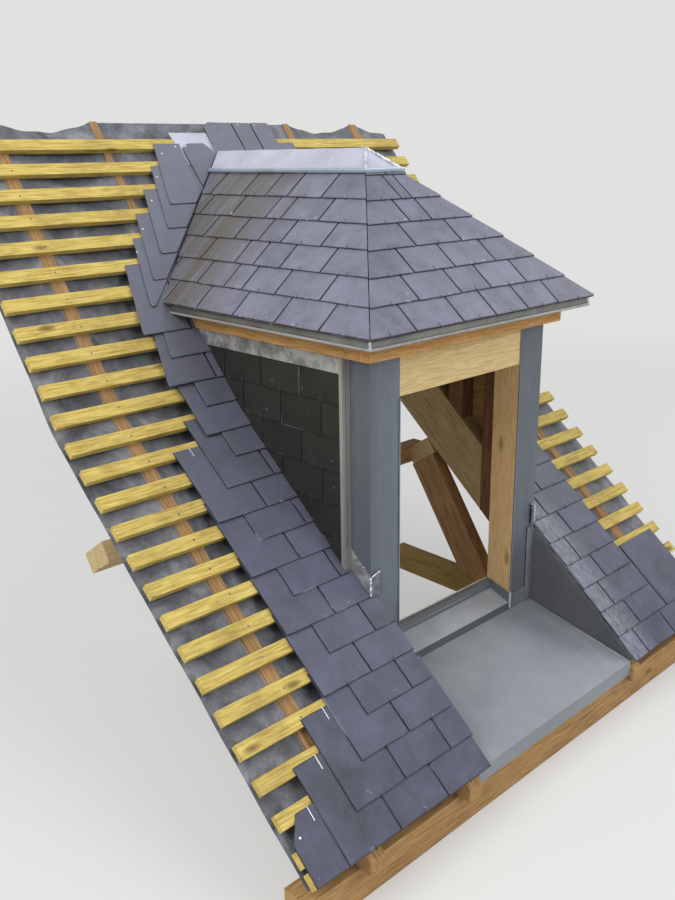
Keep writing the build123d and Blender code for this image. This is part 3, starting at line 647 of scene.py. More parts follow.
def lay_main_slate(name, side, ends, left, right, edge_x, cuts=(), hooked=True):
    """Lays a slate of the main roof, notched round the post and the cheek where it meets them."""
    tail_y, head_y = ends[0].y, ends[1].y
    if tail_y > valley_start_y or (left if side > 0 else -right) >= cheek_wall_x:
        return lay_slate(name, main_roof, ends, left, right, cuts, hooked)
    made = []
    bands = [band for band in beside_bands if band[0] < head_y - sliver and band[1] > tail_y + sliver]
    for number, (from_y, to_y, limit) in enumerate(bands):
        stops = [(Vector((side * (limit or edge_x), 0, 0)), Vector((-side, 0, 0)))]
        if number > 0:
            stops.append((Vector((0, from_y, 0)), Vector((0, -1, 0))))
        if number < len(bands) - 1:
            stops.append((Vector((0, to_y, 0)), Vector((0, 1, 0))))
        made += lay_slate(name, main_roof, ends, left, right, [*stops, *cuts], hooked and number == 0)
    return made


# Left strip: its outer end is torn, as slates are still being laid. The highest slates
# lean along the valley, and a narrow starter slate shows at the eaves.
left_edge_x = 0.455
left_first_x = -1.104
left_starter_x = -1.228
left_ends = (0, 0.5, 1, 1.5, 1, 1.5, 1, 1.5, 1, 1.5, 1, 1.5, 2, 1.7, 2,
             1.5, 1.8, 1.5, 1.9, 2.2, 2.6, 3, 3.3)
left_lean = 0.072
left_lean_from = 15
valley_from = 18
starter_length = 0.205
tray_edges = (0.447, 0.440, 0.455, 0.462)
valley_gap = 0.004

main_roof = Slope(main_point, (1, 0, 0))
main_ends = {"starter": main_roof.rest("starter", 0.0, starter_length, slate_thickness),
             **{n: main_roof.rest(n, n * gauge, slate_length, slate_thickness) for n in range(25)}}
strip = []
x = left_starter_x
while x < -left_edge_x:
    corner = [(main_point(0.13, x=x), Vector((-0.8, 0.46, 0.39)))] if x < left_first_x else []
    strip += lay_main_slate("starter_slate", -1, main_ends["starter"], x, x + slate_width, left_edge_x,
                            corner, hooked=False)
    x += slate_width


def valley_cuts(side, n):
    """What cuts a course of the main roof along a valley, from where the valley begins."""
    place, outward = valley_plane(side, valley_gap)
    return [(place, -outward)] if n >= valley_from else []


def line_cut(first, second):
    """An upright cut along a line between two places, each a distance up the roof and an X.
    What lies on the right of the line is cut off."""
    start = main_point(first[0], x=first[1])
    line = main_point(second[0], x=second[1]) - start
    return start, Vector((line.y, -line.x, 0)).normalized()


for n, share in enumerate(left_ends):
    x = left_first_x + share * slate_width
    ends = main_ends[n]
    leaning, valley = [], valley_cuts(-1, n)
    if n >= left_lean_from:
        leaning = [(Vector((x, ends[0].y, 0)), Vector((ends[0].y - ends[1].y, left_lean, 0)))]
    if n == len(left_ends) - 1:
        strip += lay_slate(f"slate_{n}", main_roof, ends, x, x + slate_width,
                           [*leaning, *valley, line_cut((2.570, -0.197), (2.847, -0.177))])
        strip += lay_slate("tapered_slate", main_roof, ends, -0.172, -0.010, [
            *valley, line_cut((2.847, -0.172), (2.636, -0.187)), line_cut((2.866, -0.100), (2.822, -0.166)),
            line_cut((2.795, -0.012), (2.861, -0.057))], hooked=False)
        break
    edge_x = tray_edges[n] if n < len(tray_edges) else left_edge_x
    while x < (-0.10 if valley else -0.45):
        strip += lay_main_slate(f"slate_{n}", -1, ends, x, x + slate_width, edge_x, [*leaning, *valley])
        leaning = []
        x += slate_width
slating_piece("left_strip_slates", strip, "main_slates_left", strip_slate)

# Right strip: full slates at the eaves, then a torn end over bare battens.
right_edge_x = 0.497
right_last_x = 1.166
right_ends = (0, 0, 1.35, 1.35, 1.35, 1.35, 1.35, 1.35, 1.35, 1.35, 1.35, 1.35, 2.3, 2, 2.3,
              1.8, 2.1, 1.8, 2.1, 2.4, 2.6, 2.75, 3.1, 3.55)
right_torn_from = 12
first_joints = (0.600, 0.669)

strip = []
x = right_last_x - 3.5 * slate_width
while x < right_last_x:
    strip += lay_main_slate("starter_slate", 1, main_ends["starter"], x,
                            min(x + slate_width, right_last_x), right_edge_x, hooked=False)
    x += slate_width
for n, share in enumerate(right_ends):
    end_x = right_last_x - share * slate_width
    cuts = valley_cuts(1, n)
    joints = [first_joints[n % 2] + k * slate_width for k in range(4)]
    if n >= right_torn_from:
        joints = [end_x - k * slate_width for k in range(5, 0, -1)]
    joints = [joint for joint in joints if joint < end_x - 0.07]
    if n >= valley_from:
        joints = [joint for joint in joints if joint > -0.02]
        joints = [-0.005, *joints] if not joints or joints[0] > 0.1 else joints
        if n == len(right_ends) - 1:
            joints.append(0.275)
            cuts.append(line_cut((2.975, 0.046), (2.922, -0.014)))
    else:
        joints = [0.45, *[joint for joint in joints if joint > 0.53]]
    for left, right in zip(joints, [*joints[1:], end_x]):
        strip += lay_main_slate(f"slate_{n}", 1, main_ends[n], left, right, right_edge_x, cuts)
slating_piece("right_strip_slates", strip, "main_slates_right", strip_slate)

# Dormer slopes: the slates start at each hip, where they are cut close, and end in the
# valleys. Their joints were set out one by one, with a narrow slate here and there.
dormer_slate = riven_slate("blue_grey_slate", "52525d", "78788a", "a9a9b4", roughness=0.52, gloss=0.35)
washed_slate = riven_slate("washed_slate", "54545f", "7a7a8b", "a9a9b4", roughness=0.40, wash=0.95)
drip_y = 0.302
apex_y = 0.925
hip_run = apex_y - drip_y
front_pitch = atan2(roof_rise, hip_run)
hip_gap = 0.0015
dormer_overhang = 0.020
dormer_gauge = 0.1155
ridge_course = 6
ridge_course_tail = 0.686
ridge_course_length = 0.115
side_joints = ((0.231, 0.455, 0.688, 0.914), (0.228, 0.461, 0.648, 0.756, 0.926),
               (0.228, 0.442, 0.595, 0.707, 0.927), (0.226, 0.445, 0.577, 0.726, 0.930),
               (0.243, 0.455, 0.546, 0.768, 0.985), (0.230, 0.426, 0.559, 0.713, 0.930),
               (0.150, 0.370, 0.590, 0.810))
front_joints = ((0.210, 0.445, 0.623, 0.811, 1.000), (0.231, 0.449, 0.616, 0.827),
                (0.215, 0.430, 0.664), (0.234, 0.483), (0.212, 0.331), (0.175, 0.231), (0.1,))


def hip_plane(side, towards_front):
    """The upright plane of a hip, with its outward side in front of it or beside it."""
    line = Vector((side * ridge_half_width, -hip_run, 0)).normalized()
    normal = Vector((-line.y, line.x, 0)) * (-side if towards_front else side)
    if (normal.y < 0) != towards_front:
        normal = -normal
    return Vector((0, apex_y, 0)) - normal * hip_gap, normal


def side_slope(side):
    """The slope on one side of the dormer."""
    up = Vector((-side * cos(side_pitch), 0, sin(side_pitch)))
    foot = Vector((side * ridge_half_width, 0, drip_top_z))
    return Slope(lambda run: foot + up * run, (0, side, 0))


def dormer_slates(kind, slope, starters, joints, places_at, cuts):
    """The slates of one of the dormer's slopes, from the starters at its eaves to the last cut
    course at its ridge. Places_at gives a course's ends and joints from its tail."""
    slates = []
    ends = slope.rest("starter", -dormer_overhang, starter_length, slate_thickness)
    for left, right in starters:
        slates += lay_slate(f"{kind}_starter", slope, ends, left, right, cuts, hooked=False)
    for course, course_joints in enumerate(joints):
        tail, length = course * dormer_gauge - dormer_overhang, slate_length
        if course == ridge_course:
            tail, length = ridge_course_tail, ridge_course_length
        ends = slope.rest(course, tail, length, slate_thickness)
        places = places_at(tail, course_joints)
        for pair in zip(places, places[1:]):
            slates += lay_slate(f"{kind}_slate_{course}", slope, ends, *sorted(pair), cuts,
                                hooked=course < ridge_course)
    return slates


for name, side in sides:
    starts = [drip_y - 0.05 + k * slate_width for k in range(7)]

    def side_places(tail, joints):
        """Where the slates of a side course end, from its hip into the valley."""
        hip_start = drip_y + tail * cos(side_pitch) * hip_run / ridge_half_width
        places = [hip_start - 0.03, *[hip_start + joint for joint in joints]]
        return [side * y for y in [*places, *[places[-1] + slate_width * k for k in (1, 2, 3)]]]

    slates = dormer_slates(
        "side", side_slope(side), [sorted((side * y, side * (y + slate_width))) for y in starts],
        side_joints, side_places,
        [hip_plane(side, True), valley_plane(side, -valley_gap),
         (Vector((-side * 0.002, 0, 0)), Vector((-side, 0, 0)))])
    slating_piece(f"dormer_{name}_slates", slates, f"side_slates_{name}",
                  washed_slate if side < 0 else dormer_slate)

front_up = Vector((0, cos(front_pitch), sin(front_pitch)))
front_foot = Vector((0, drip_y, drip_top_z))


def front_places(tail, joints):
    """Where the slates of a front course end, from hip to hip."""
    half = ridge_half_width * (1 - tail * cos(front_pitch) / hip_run)
    return [-half - 0.03, *[joint - half for joint in joints], half + 0.03]


slates = dormer_slates(
    "front", Slope(lambda run: front_foot + front_up * run, (1, 0, 0)),
    [(k * slate_width, (k + 1) * slate_width) for k in range(-3, 3)], front_joints, front_places,
    [hip_plane(-1, False), hip_plane(1, False)])
slating_piece("dormer_front_slates", slates, "front_slates", dormer_slate)

# Cheeks: the same slates hung upright on boards, cut along the main roof at their foot.
# Painted shade: the cheek slates are coloured near black, much darker than the same slates on the slopes,
# for the shadow the eaves cast over the cheeks.
cheek_slate = riven_slate("shaded_cheek_slate", "1a1917", "2b2a27", "7a7974", roughness=0.55, gloss=0.3, knocks=0.58)
cheek_gauge = 0.1237
cheek_first_tail = 0.985
cheek_front_y = 0.518
cheek_top_z = 1.532
cheek_back_y = 1.4
cheek_lift = 0.0035


def main_roof_cuts(depth):
    """The planes of the main roof, which cut off what stands on it, at a depth below its faces."""
    return [(main_point(0.5, depth), Vector((0, sin(lower_pitch), -cos(lower_pitch)))),
            (main_point(2.5, depth), Vector((0, sin(upper_pitch), -cos(upper_pitch))))]


cheek_cuts = [*main_roof_cuts(-0.0015), (Vector((0, cheek_front_y, 0)), Vector((0, -1, 0))),
              (Vector((0, 0, cheek_top_z)), Vector((0, 0, 1)))]
for name, side in sides:
    slope = Slope(lambda run, side=side: Vector((side * cheek_wall_x, 0, run)), (0, side, 0))
    slates = []
    for course in range(-4, 5):
        ends = slope.rest(course, cheek_first_tail + course * cheek_gauge, slate_length, cheek_lift)
        near = cheek_front_y - (0 if course % 2 else slate_width / 2)
        while near < cheek_back_y:
            far = near + slate_width
            slates += lay_slate(f"cheek_slate_{course}", slope, ends, *sorted((side * near, side * far)),
                                cheek_cuts)
            near = far
    slating_piece(f"cheek_{name}_slates", slates, f"cheek_slates_{name}", cheek_slate)

bpy.data.objects.remove(whole_slate)
bpy.data.objects.remove(wire_hook)

# Front timbers: planed pine posts, pale header, orange-tan eaves boards and fascias, and
# red-brown studs behind the posts, painted dark for the shade they stand in.
finish_nodes(sawn_timber("planed_posts", "d6b382", "bd965f", "94703f", along=along_z, grain=0.005,
                         dirt=0.08), "pale_pine", "post_left", "post_right")
finish_nodes(sawn_timber("planed_header", "dcc38f", "c0a26a", "8a6a42", grain=0.006, dirt=0.15),
             "pale_pine", "header")
# Painted shade: the studs are coloured darker than the other timbers, for the shade they stand in behind the
# posts.
finish_nodes(sawn_timber("shaded_red_brown_studs", "7c5535", "55351f", "352114", along=along_z),
             "frame_timber", "cheek_studs")
finish_nodes(sawn_timber("eaves_pine", "d2a668", "ad7b43", "7a532b", grain=0.006, dirt=0.3),
             "orange_pine", "eaves_board_front", "fascia_front")
finish_nodes(sawn_timber("eaves_pine_inward", "cfa56a", "ae824b", "7d5c38", along=along_y,
                         grain=0.006, dirt=0.3),
             "orange_pine", "eaves_board_left", "eaves_board_right", "fascia_left", "fascia_right")


# Zinc work: 0.8 mm sheet, folded and soldered. New sheet is pale, and it dulls to a
# blue-grey, mottled by rain and by the hands that fitted it.
def sheet_zinc(name, dull, pale, mottle=0.05, metallic=0.35, roughness=0.5, streak=1.0, contrast=0.12,
               turn=None):
    """Weathered zinc whose mottling has a size in metres, drawn out upwards by streak. Turn
    gives a second tone, and between which depths the sheet changes over to it. Where it
    changes at a fold, the second tone is painted light and shade for the face beyond the fold."""
    metal = new_finish(name)
    place = add_node(metal, "TexCoord").outputs["Object"]
    drawn = add_node(metal, "Mapping", Vector=place, Scale=(1, 1, 1 / streak))
    broad = add_node(metal, "TexNoise", Vector=drawn, Scale=0.35 / mottle, Detail=7.0, Roughness=0.6,
                     Distortion=0.4)
    fine = add_node(metal, "TexNoise", Vector=drawn, Scale=5 / mottle, Detail=4.0, Roughness=0.7)
    both = add_node(metal, "Math", operation="MULTIPLY_ADD", i0=fine, i1=0.35, i2=broad)
    tone = add_node(metal, "ValToRGB", Fac=both, stops=((0.675 - contrast, dull), (0.675 + contrast, pale)))
    rough = add_node(metal, "MapRange", Value=both, From_Min=0.45, From_Max=0.90,
                     To_Min=roughness - 0.08, To_Max=roughness + 0.12)
    dents = add_node(metal, "TexNoise", Vector=place, Scale=4.5, Detail=1.0)
    bump = add_node(metal, "Bump", Strength=0.35, Distance=0.006, Height=dents)
    colour = tone
    if turn:
        over, from_y, to_y = turn
        depth = add_node(metal, "SeparateXYZ", Vector=place).outputs["Y"]
        turned = add_node(metal, "MapRange", Value=depth, From_Min=from_y, From_Max=to_y)
        colour = add_node(metal, "Mix", data_type="RGBA", i0=turned, i6=colour, i7=linear(over))
    set_node(metal, "Principled BSDF", Base_Color=colour, Normal=bump, Roughness=rough, Metallic=metallic)
    return metal


post_zinc = sheet_zinc("post_zinc", "62686f", "737a82", mottle=0.10, streak=5.0)
finish_nodes(post_zinc, "zinc", "post_zinc_left", "post_zinc_right")
# Painted light and shade: the tray's zinc turns darker on its face at the post fronts, which stands back
# from the light. The sill's zinc is a paler copy, lit on its slope, and it turns darker on its upright face
# at the back.
finish_nodes(sheet_zinc("tray_zinc", "7f848a", "92979d", mottle=0.09, contrast=0.2,
                        turn=("5c6060", 0.4165, 0.4175)), "tray_zinc", "tray_zinc")
finish_nodes(sheet_zinc("sill_zinc", "93979c", "a8acb1", mottle=0.07, contrast=0.2,
                        turn=("6c7072", 0.5165, 0.5175)), "tray_zinc", "sill_zinc")
finish_nodes(sheet_zinc("tray_cheek_zinc", "656668", "757678", mottle=0.08, contrast=0.2,
                        turn=("545657", 0.40, 0.02)), "tray_zinc", "tray_cheek_left", "tray_cheek_right")
# Painted light and shade: the flashings are pale where they run along the posts' sides, and turn a darker
# blue-grey at the posts' front corners, for the weaker light on their front faces.
flashing_zinc = sheet_zinc("flashing_zinc", "757677", "acaba7", mottle=0.02, contrast=0.10,
                           turn=("636a72", 0.4190, 0.4182))
finish_nodes(flashing_zinc, "zinc", "foot_flashings", "top_flashings")
finish_nodes(sheet_zinc("trim_zinc", "827f7b", "9c9893", mottle=0.05, contrast=0.2, streak=4.0), "zinc",
             "cheek_trims")
finish_nodes(sheet_zinc("valley_zinc", "6c6f74", "8b8e93"), "zinc", "valley_zinc")
tin = sheet_zinc("tin_solder", "a9abb0", "e9eaee", mottle=0.012, metallic=0.5, roughness=0.3,
                 contrast=0.10)
bright_zinc = sheet_zinc("bright_zinc", "aeadbb", "c7c7d6", mottle=0.07, metallic=0.3, roughness=0.42,
                         contrast=0.2)
roll_zinc = sheet_zinc("roll_zinc", "97a2b0", "b8c5d2", mottle=0.08, metallic=0.5, roughness=0.3,
                       contrast=0.25)
trim_thickness = 0.0010


def with_thickness(piece, thickness):
    """Gives an open sheet its thickness on its inner side, and smooths its folds."""
    solid = piece.modifiers.new("sheet", "SOLIDIFY")
    solid.thickness = thickness
    solid.offset = -1
    take(piece)
    bpy.ops.object.modifier_apply(modifier="sheet")
    face_outwards()
    bpy.ops.object.shade_smooth_by_angle(angle=radians(30))


def bent_zinc(name, columns, rows, place_at, material):
    """A piece of sheet zinc. Place_at gives its points from a share along and a share up."""
    sheet = flat_sheet(name, columns, rows)
    for vertex in sheet.data.vertices:
        vertex.co = place_at(vertex.co.x + 0.5, vertex.co.y + 0.5)
    with_thickness(sheet, trim_thickness)
    dressed_piece(sheet, material)


def solder_line(name, start, end, radius):
    """A bead of solder along a seam, lumpy as it ran from the iron."""
    start, end = Vector(start), Vector(end)
    steps = max(3, round((end - start).length / 0.006))
    line = [start.lerp(end, k / steps) for k in range(steps + 1)]
    line = [place + Vector([chance.gauss(0, radius * 0.10) for axis in range(3)]) for place in line]
    bead = round_bar(name, line, radius, rounds=2)
    seam = (end - start).normalized()
    for vertex in bead.data.vertices:
        along = (vertex.co - start).dot(seam)
        middle = start + seam * along
        swell = 1 + 0.16 * sin(along / radius * 1.9) + 0.10 * sin(along / radius * 4.3 + 1)
        vertex.co = middle + (vertex.co - middle) * swell
    bpy.ops.object.shade_smooth()
    dressed_piece(bead, tin)


# Drip edge: an upright zinc strip round the eaves, rolled into a bead along its foot and
# soldered at the corners. The main roof cuts it off at the back.
drip_bottom_z = 1.591
bead_radius = 0.0055
drip_back_y = 1.5
drip_line = [(-ridge_half_width, drip_back_y), (-ridge_half_width, drip_y),
             (ridge_half_width, drip_y), (ridge_half_width, drip_back_y)]
drip_folds = (0.0, 0.0005, -0.0004, 0.0004, 0.0022)
drip_strip = flat_sheet("drip_strip", 3, 4)
for vertex in drip_strip.data.vertices:
    corner, level = round((vertex.co.x + 0.5) * 3), round((vertex.co.y + 0.5) * 4)
    x, y = drip_line[corner]
    fold = drip_folds[level]
    height = drip_bottom_z + bead_radius + (drip_top_z - drip_bottom_z - bead_radius) * level / 4
    vertex.co = (x - fold * (1 if x > 0 else -1), y + (fold if corner in (1, 2) else 0), height)
with_thickness(drip_strip, 0.0012)
drip_bead = round_bar("drip_bead", [(x + (0.003 if x > 0 else -0.003), y - (0.003 if y < 1 else 0),
                                     drip_bottom_z + bead_radius) for x, y in drip_line],
                      bead_radius, rounds=4)
for piece in (drip_strip, drip_bead):
    for place, outward in main_roof_cuts(0):
        cut(piece, place, outward)
bpy.ops.object.shade_smooth_by_angle(angle=radians(35))
dressed_piece(drip_strip, sheet_zinc("drip_zinc", "6e706a", "8e8e87", mottle=0.06, streak=2.0,
                                     contrast=0.2), node="drip_edge")
# Painted highlight: the bead is a paler, glossier copy of the strip's zinc, for the bright line along the
# drip's foot.
dressed_piece(drip_bead, sheet_zinc("bead_highlight_zinc", "96928e", "b3b0ad", mottle=0.08, metallic=0.5,
                                    roughness=0.3, contrast=0.25))
for name, side in sides:
    corner = (side * (ridge_half_width + 0.0006), drip_y - 0.0006)
    solder_line(f"drip_corner_solder_{name}", (*corner, 1.600), (*corner, drip_top_z - 0.006), 0.0052)

# Ridge cap: sheet zinc folded over the ridge and down over the tops of the hips, with a
# round roll along its foot. Its hips and its peak are closed with wide seams of solder.
cap_lift = 0.0045
cap_foot_x = 0.130 * cos(side_pitch)
cap_roll_radius = 0.0105
cap_end_gap = 0.004


def cap_point(x, y_at=None, lift=cap_lift):
    """A point of the cap's side flank, on the hip, or further back at a given Y."""
    hip_place = apex_y - abs(x) * hip_run / ridge_half_width
    height = ridge_slate_z - abs(x) * roof_rise / ridge_half_width + lift / cos(side_pitch)
    return Vector((x, hip_place if y_at is None else y_at, height))


def valley_back_y(x):
    """Where the valley runs, at a distance from the centre line."""
    return valley_head_y - abs(x) * valley_turn - cap_end_gap


ridge_cap = flat_sheet("ridge_cap_sheet", 10, 24)
for vertex in ridge_cap.data.vertices:
    x = vertex.co.x * 2 * cap_foot_x
    share = vertex.co.y + 0.5
    wave = 0.0009 * sin(share * 31 + x * 40) * sin(pi * share) * (1 - abs(vertex.co.x) * 1.6)
    vertex.co = cap_point(x).lerp(cap_point(x, valley_back_y(x)), share) + Vector((0, 0, wave))
front_edge = sorted((vertex for vertex in ridge_cap.data.vertices
                     if abs(vertex.co.y - cap_point(vertex.co.x).y) < 1e-5), key=lambda v: v.co.x)
front_line = [vertex.co.copy() for vertex in front_edge]
cap_front = flat_sheet("ridge_cap_front", 10, 5)
for vertex in cap_front.data.vertices:
    top = front_line[round((vertex.co.x + 0.5) * 10)]
    foot = Vector((top.x, cap_point(cap_foot_x).y, cap_point(cap_foot_x).z))
    vertex.co = foot.lerp(top, vertex.co.y + 0.5)
ridge_cap = joined("ridge_cap_sheet", [ridge_cap, cap_front])
face_outwards(merge=0.0003)
face_up(ridge_cap)
with_thickness(ridge_cap, 0.0015)
dressed_piece(ridge_cap, bright_zinc, node="ridge_cap")
roll_lift = 0.0085
cap_back_y = valley_back_y(cap_foot_x)
cap_roll = round_bar("ridge_cap_roll", [
    cap_point(-cap_foot_x, cap_back_y, roll_lift), cap_point(-cap_foot_x, lift=roll_lift),
    cap_point(cap_foot_x, lift=roll_lift), cap_point(cap_foot_x, cap_back_y, roll_lift)],
    cap_roll_radius, rounds=5)
bpy.ops.object.shade_smooth_by_angle(angle=radians(35))
dressed_piece(cap_roll, roll_zinc)
for name, side in sides:
    solder_line(f"cap_hip_solder_{name}", cap_point(side * 0.004),
                cap_point(side * cap_foot_x, lift=roll_lift + 0.002), 0.0062)
solder_line("cap_peak_solder", cap_point(0, apex_y - 0.003), cap_point(0, apex_y + 0.012), 0.005)

# Valley-head sheet: the end of the zinc that lines the valleys still lies bare on the
# battens at the top left, where the next slates are to come.
valley_head = flat_sheet("valley_head_sheet", 6, 4)
for vertex in valley_head.data.vertices:
    across, up = vertex.co.x + 0.5, vertex.co.y + 0.5
    x = -0.158 - 0.044 * up + across * (0.205 + 0.03 * up)
    lift = 0.0012 + 0.0008 * sin(across * 9)
    vertex.co = main_point(2.655 + up * 0.258, slating - lift, x)
face_up(valley_head)
with_thickness(valley_head, 0.0008)
dressed_piece(valley_head, bright_zinc)

# Foot flashings: where they turn round the front corner of each post they are tacked with
# drops of solder, and a folded tab holds their end down.
post_x = 0.491
post_front_y = 0.418


def corner_z(y, rise):
    """Height over the lower main roof at a depth, square to its slates."""
    return eaves_z + (y - eaves_y) * tan(lower_pitch) + rise / cos(lower_pitch)


# Painted shade: the tabs on the flashings' fronts take the same darker blue-grey as those fronts.
tab_zinc = sheet_zinc("tab_zinc", "596067", "868d94", mottle=0.03, contrast=0.08)
solder_drops = []
for side in (-1, 1):
    low, high = corner_z(post_front_y, 0.008), corner_z(post_front_y, 0.060)
    corner_drops = [((side * (post_x + 0.001), post_front_y - 0.001, low + (high - low) * share), radius)
                    for share, radius in ((0.05, 0.0042), (0.22, 0.0035), (0.38, 0.0048),
                                          (0.55, 0.0036), (0.74, 0.0052), (0.95, 0.0044))]
    edge_drops = [((side * post_x, run_y, corner_z(run_y, 0.060)), 0.0030)
                  for run_y in (0.43, 0.455, 0.49)]
    for place, radius in corner_drops + edge_drops:
        take()
        bpy.ops.mesh.primitive_ico_sphere_add(subdivisions=2, radius=radius, location=place)
        drop = bpy.context.object
        if radius > 0.0030:
            drop.scale = (1, 0.8, 1.5)
        settle()
        if radius > 0.0030:
            for vertex in drop.data.vertices:
                vertex.co += Vector([chance.gauss(0, radius * 0.10) for axis in range(3)])
        solder_drops.append(drop)
drops = joined("flashing_solder", solder_drops)
bpy.ops.object.shade_smooth()
dressed_piece(drops, tin)
for name, side in sides:
    low, high = corner_z(post_front_y, 0.006), corner_z(post_front_y, 0.064)
    bent_zinc(f"flashing_tab_{name}", 8, 4, lambda share, up: (
        side * (post_x - 0.002 - 0.032 * share),
        post_front_y - (0.0018 + 0.0150 * max(0, share - 0.55) ** 0.7 + 0.0030 * sin(pi * share) * up),
        low + (high - low) * up + (0.012 * share + 0.006 * share ** 3) * up), tab_zinc)
    solder_line(f"flashing_tab_solder_{name}", (side * post_x, post_front_y - 0.003, high),
                (side * (post_x - 0.034), post_front_y - 0.012, high + 0.018), 0.0024)

# Upturns: the sill's zinc turns up on the foot of each post's reveal, and the tray's zinc on
# its face. Bright solder closes the corner between them, and a folded seam runs up where
# the tray's cheek meets the post.
reveal_x = 0.344
sill_front_z = 0.349
sill_rise = 0.035
sill_ledge = 0.098
sill_top_z = 0.423
tray_back_z = 0.318
upturn = 0.046
flange_width = 0.042
tray_fall = 0.206
upturn_zinc = sheet_zinc("upturn_zinc", "6a6e71", "85898c", mottle=0.05, contrast=0.2)
# Painted highlight: the rolled folds are real, but their zinc is paler than the sheets they run along, for
# the light they catch. The sill's back edge is the palest.
fold_highlight_zinc = sheet_zinc("fold_highlight_zinc", "858682", "a3a39e", mottle=0.04, metallic=0.5, roughness=0.4)
edge_highlight_zinc = sheet_zinc("edge_highlight_zinc", "bdb9aa", "d6d2c3", mottle=0.04, metallic=0.3, roughness=0.4)
post_fold_highlight_zinc = sheet_zinc("post_fold_highlight_zinc", "767b82", "8a9097", mottle=0.10, streak=5.0)
flange_front_x = post_x - 0.003
flange_top_z = corner_z(post_front_y, 0.0) - 0.004
corner_top_z = sill_front_z + upturn + 0.004


def fold_line(name, line, radius, material):
    """A rolled fold along an edge of the zinc."""
    fold = round_bar(name, line, radius, rounds=2)
    bpy.ops.object.shade_smooth_by_angle(angle=radians(50))
    dressed_piece(fold, material)


for name, side in sides:
    bent_zinc(f"sill_upturn_{name}", 8, 3, lambda share, up: (
        side * (reveal_x - (0.0006 * sin(share * 11) + (0.0016 if up > 0.9 else 0.0008))),
        post_front_y + (0.002 + sill_ledge) * share,
        sill_front_z + sill_rise * share + up * (
            upturn + (sill_top_z - 0.001 - sill_front_z - upturn - sill_rise) * share)),
        upturn_zinc)
    bent_zinc(f"tray_upturn_{name}", 8, 4, lambda share, up: (
        side * (reveal_x + (post_x - 0.004 - reveal_x) * share),
        post_front_y - 0.0014 - (0.004 * (0.25 - up) if up < 0.25 else 0) - 0.0005 * sin(share * 9),
        tray_back_z + (sill_front_z + upturn * (0.78 + 0.16 * share) - tray_back_z) * up),
        upturn_zinc)
    corner = (side * (reveal_x - 0.001), post_front_y - 0.002)
    solder_line(f"sill_corner_solder_{name}", (*corner, tray_back_z + 0.004), (*corner, corner_top_z),
                0.0040)
    bent_zinc(f"cheek_flange_{name}", 4, 8, lambda share, up: (
        side * (flange_front_x - flange_width * share),
        post_front_y - 0.0030 - 0.0022 * sin(pi * share) - 0.0006 * sin(up * 7),
        tray_back_z + 0.004 + (flange_top_z - tray_back_z - 0.004) * up),
        upturn_zinc)
    flange_x = side * (flange_front_x - flange_width)
    fold_line(f"flange_fold_{name}", [
        (flange_x, post_front_y - 0.0040, tray_back_z + 0.050), (flange_x, post_front_y - 0.0036, 0.50),
        (flange_x, post_front_y - 0.0040, flange_top_z)], 0.0016, fold_highlight_zinc)
    fold_line(f"tray_foot_fold_{name}", [
        (side * (post_x - 0.012), post_front_y - 0.006, tray_back_z + 0.0005),
        (side * (post_x - 0.011), 0.16, tray_back_z - tray_fall * 0.258 + 0.0005),
        (side * (post_x - 0.012), -0.075, tray_back_z - tray_fall * 0.493 + 0.0005)], 0.0020, fold_highlight_zinc)
    fold_line(f"post_fold_{name}", [
        (side * (reveal_x + 0.0015), post_front_y - 0.0006, corner_top_z),
        (side * (reveal_x + 0.0018), post_front_y - 0.0006, 0.90),
        (side * (reveal_x + 0.0015), post_front_y - 0.0006, 1.374)], 0.0024, post_fold_highlight_zinc)
sill_fold_x = reveal_x - 0.003
for name, y, z, radius, look in (("back", 0.5445, sill_top_z + 0.0008, 0.0026, edge_highlight_zinc),
                                 ("step", 0.5172, 0.4010, 0.0015, fold_highlight_zinc)):
    fold_line(f"sill_{name}_fold", [(-sill_fold_x, y, z), (0, y - 0.0004, z), (sill_fold_x, y, z)],
              radius, look)

# Nails and bare hooks at the torn edge: the heads of the end slates are still open, so the
# galvanised nails and the shanks of the hooks for the next slates show bright.
steel = sheet_zinc("galvanised_steel", "c9cacc", "f2f2f4", mottle=0.02, metallic=0.4, roughness=0.35)


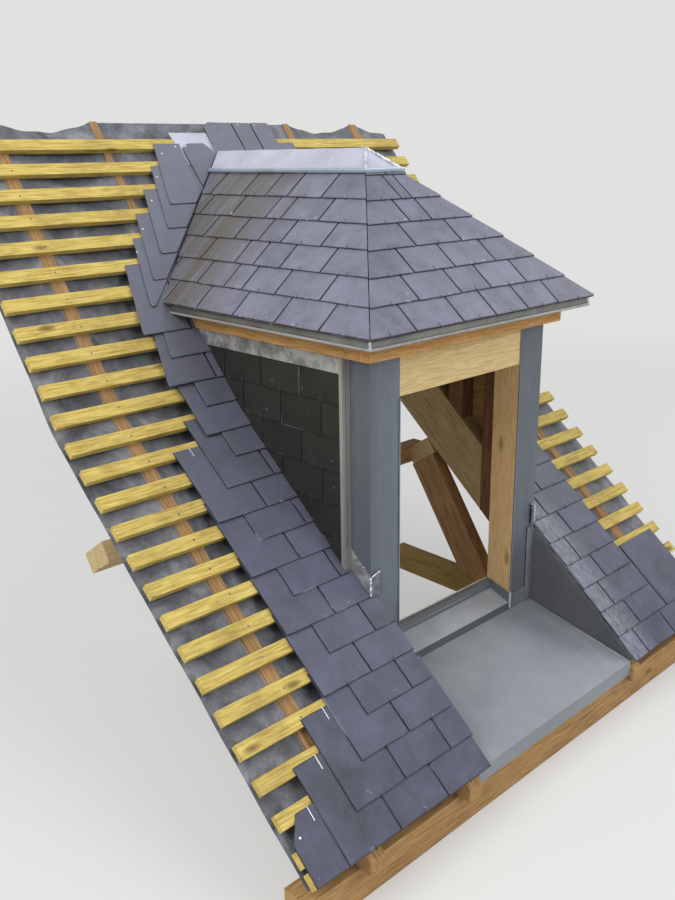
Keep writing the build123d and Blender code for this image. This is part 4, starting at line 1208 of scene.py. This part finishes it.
def over_slate(course, run, x, lift):
    """A place on the upper face of a main roof course, raised square to it."""
    tail_point, head_point = main_ends[course]
    up = (head_point - tail_point).normalized()
    base = tail_point + up * (run - (0 if course == "starter" else course * gauge))
    return base + Vector((x, 0, 0)) + Vector((1, 0, 0)).cross(up) * (slate_thickness + lift)


def nail_head(place, normal, radius, depth, corners, bevel=0):
    """A round nail head that lies on a face."""
    take()
    bpy.ops.mesh.primitive_cylinder_add(vertices=corners, radius=radius, depth=depth, location=place,
                                        rotation=normal.to_track_quat("Z", "Y").to_euler())
    settle()
    if bevel:
        face_outwards(bevel=bevel)
    return bpy.context.object


nails = []
for course, run, x in ((22, 2.799, -0.290), (21, 2.680, -0.369), (20, 2.564, -0.450), (19, 2.431, -0.553),
                       (18, 2.328, -0.627), (22, 2.835, -0.203), (22, 2.836, -0.150), (23, 2.945, 0.060),
                       (23, 2.955, 0.198), (23, 2.956, 0.298), ("starter", 0.145, -1.196)):
    normal = over_slate(course, run, x, 1) - over_slate(course, run, x, 0)
    nails.append(nail_head(over_slate(course, run, x, 0.0004), normal,
                           0.0030 if course == 23 else 0.0040, 0.0018, 14, bevel=0.0005))
dressed_piece(joined("slate_nails", nails), steel)

shanks = []
for course, head_run, end_run, x in (("starter", 0.205, 0.163, -1.127), (0, 0.320, 0.276, -1.015),
                                     (1, 0.435, 0.396, -0.902), (10, 1.470, 1.436, -0.814)):
    shanks.append(round_bar("hook_shank", [
        over_slate(course, head_run + 0.006, x, -0.007), over_slate(course, head_run + 0.003, x, 0.0015),
        over_slate(course, end_run, x, 0.0016)], 0.0016))
bare_hooks = joined("bare_hooks", shanks)
bpy.ops.object.shade_smooth_by_angle(angle=radians(50))
dressed_piece(bare_hooks, steel)

# Batten nails: one round head on every batten over each outer rafter.
batten_starts = [0.005, *[0.070 + n * gauge for n in range(25)]]
nails = []
for side in (-1, 1):
    for start in batten_starts:
        run = start + 0.025 + chance.uniform(-0.008, 0.008)
        x = side * (sum(outer_rafter) / 2 + chance.uniform(-0.010, 0.010))
        nails.append(nail_head(main_point(run, x=x), main_point(run, 0) - main_point(run, 1),
                               0.0036, 0.0016, 10))
dressed_piece(joined("batten_nails", nails), hook_wire)
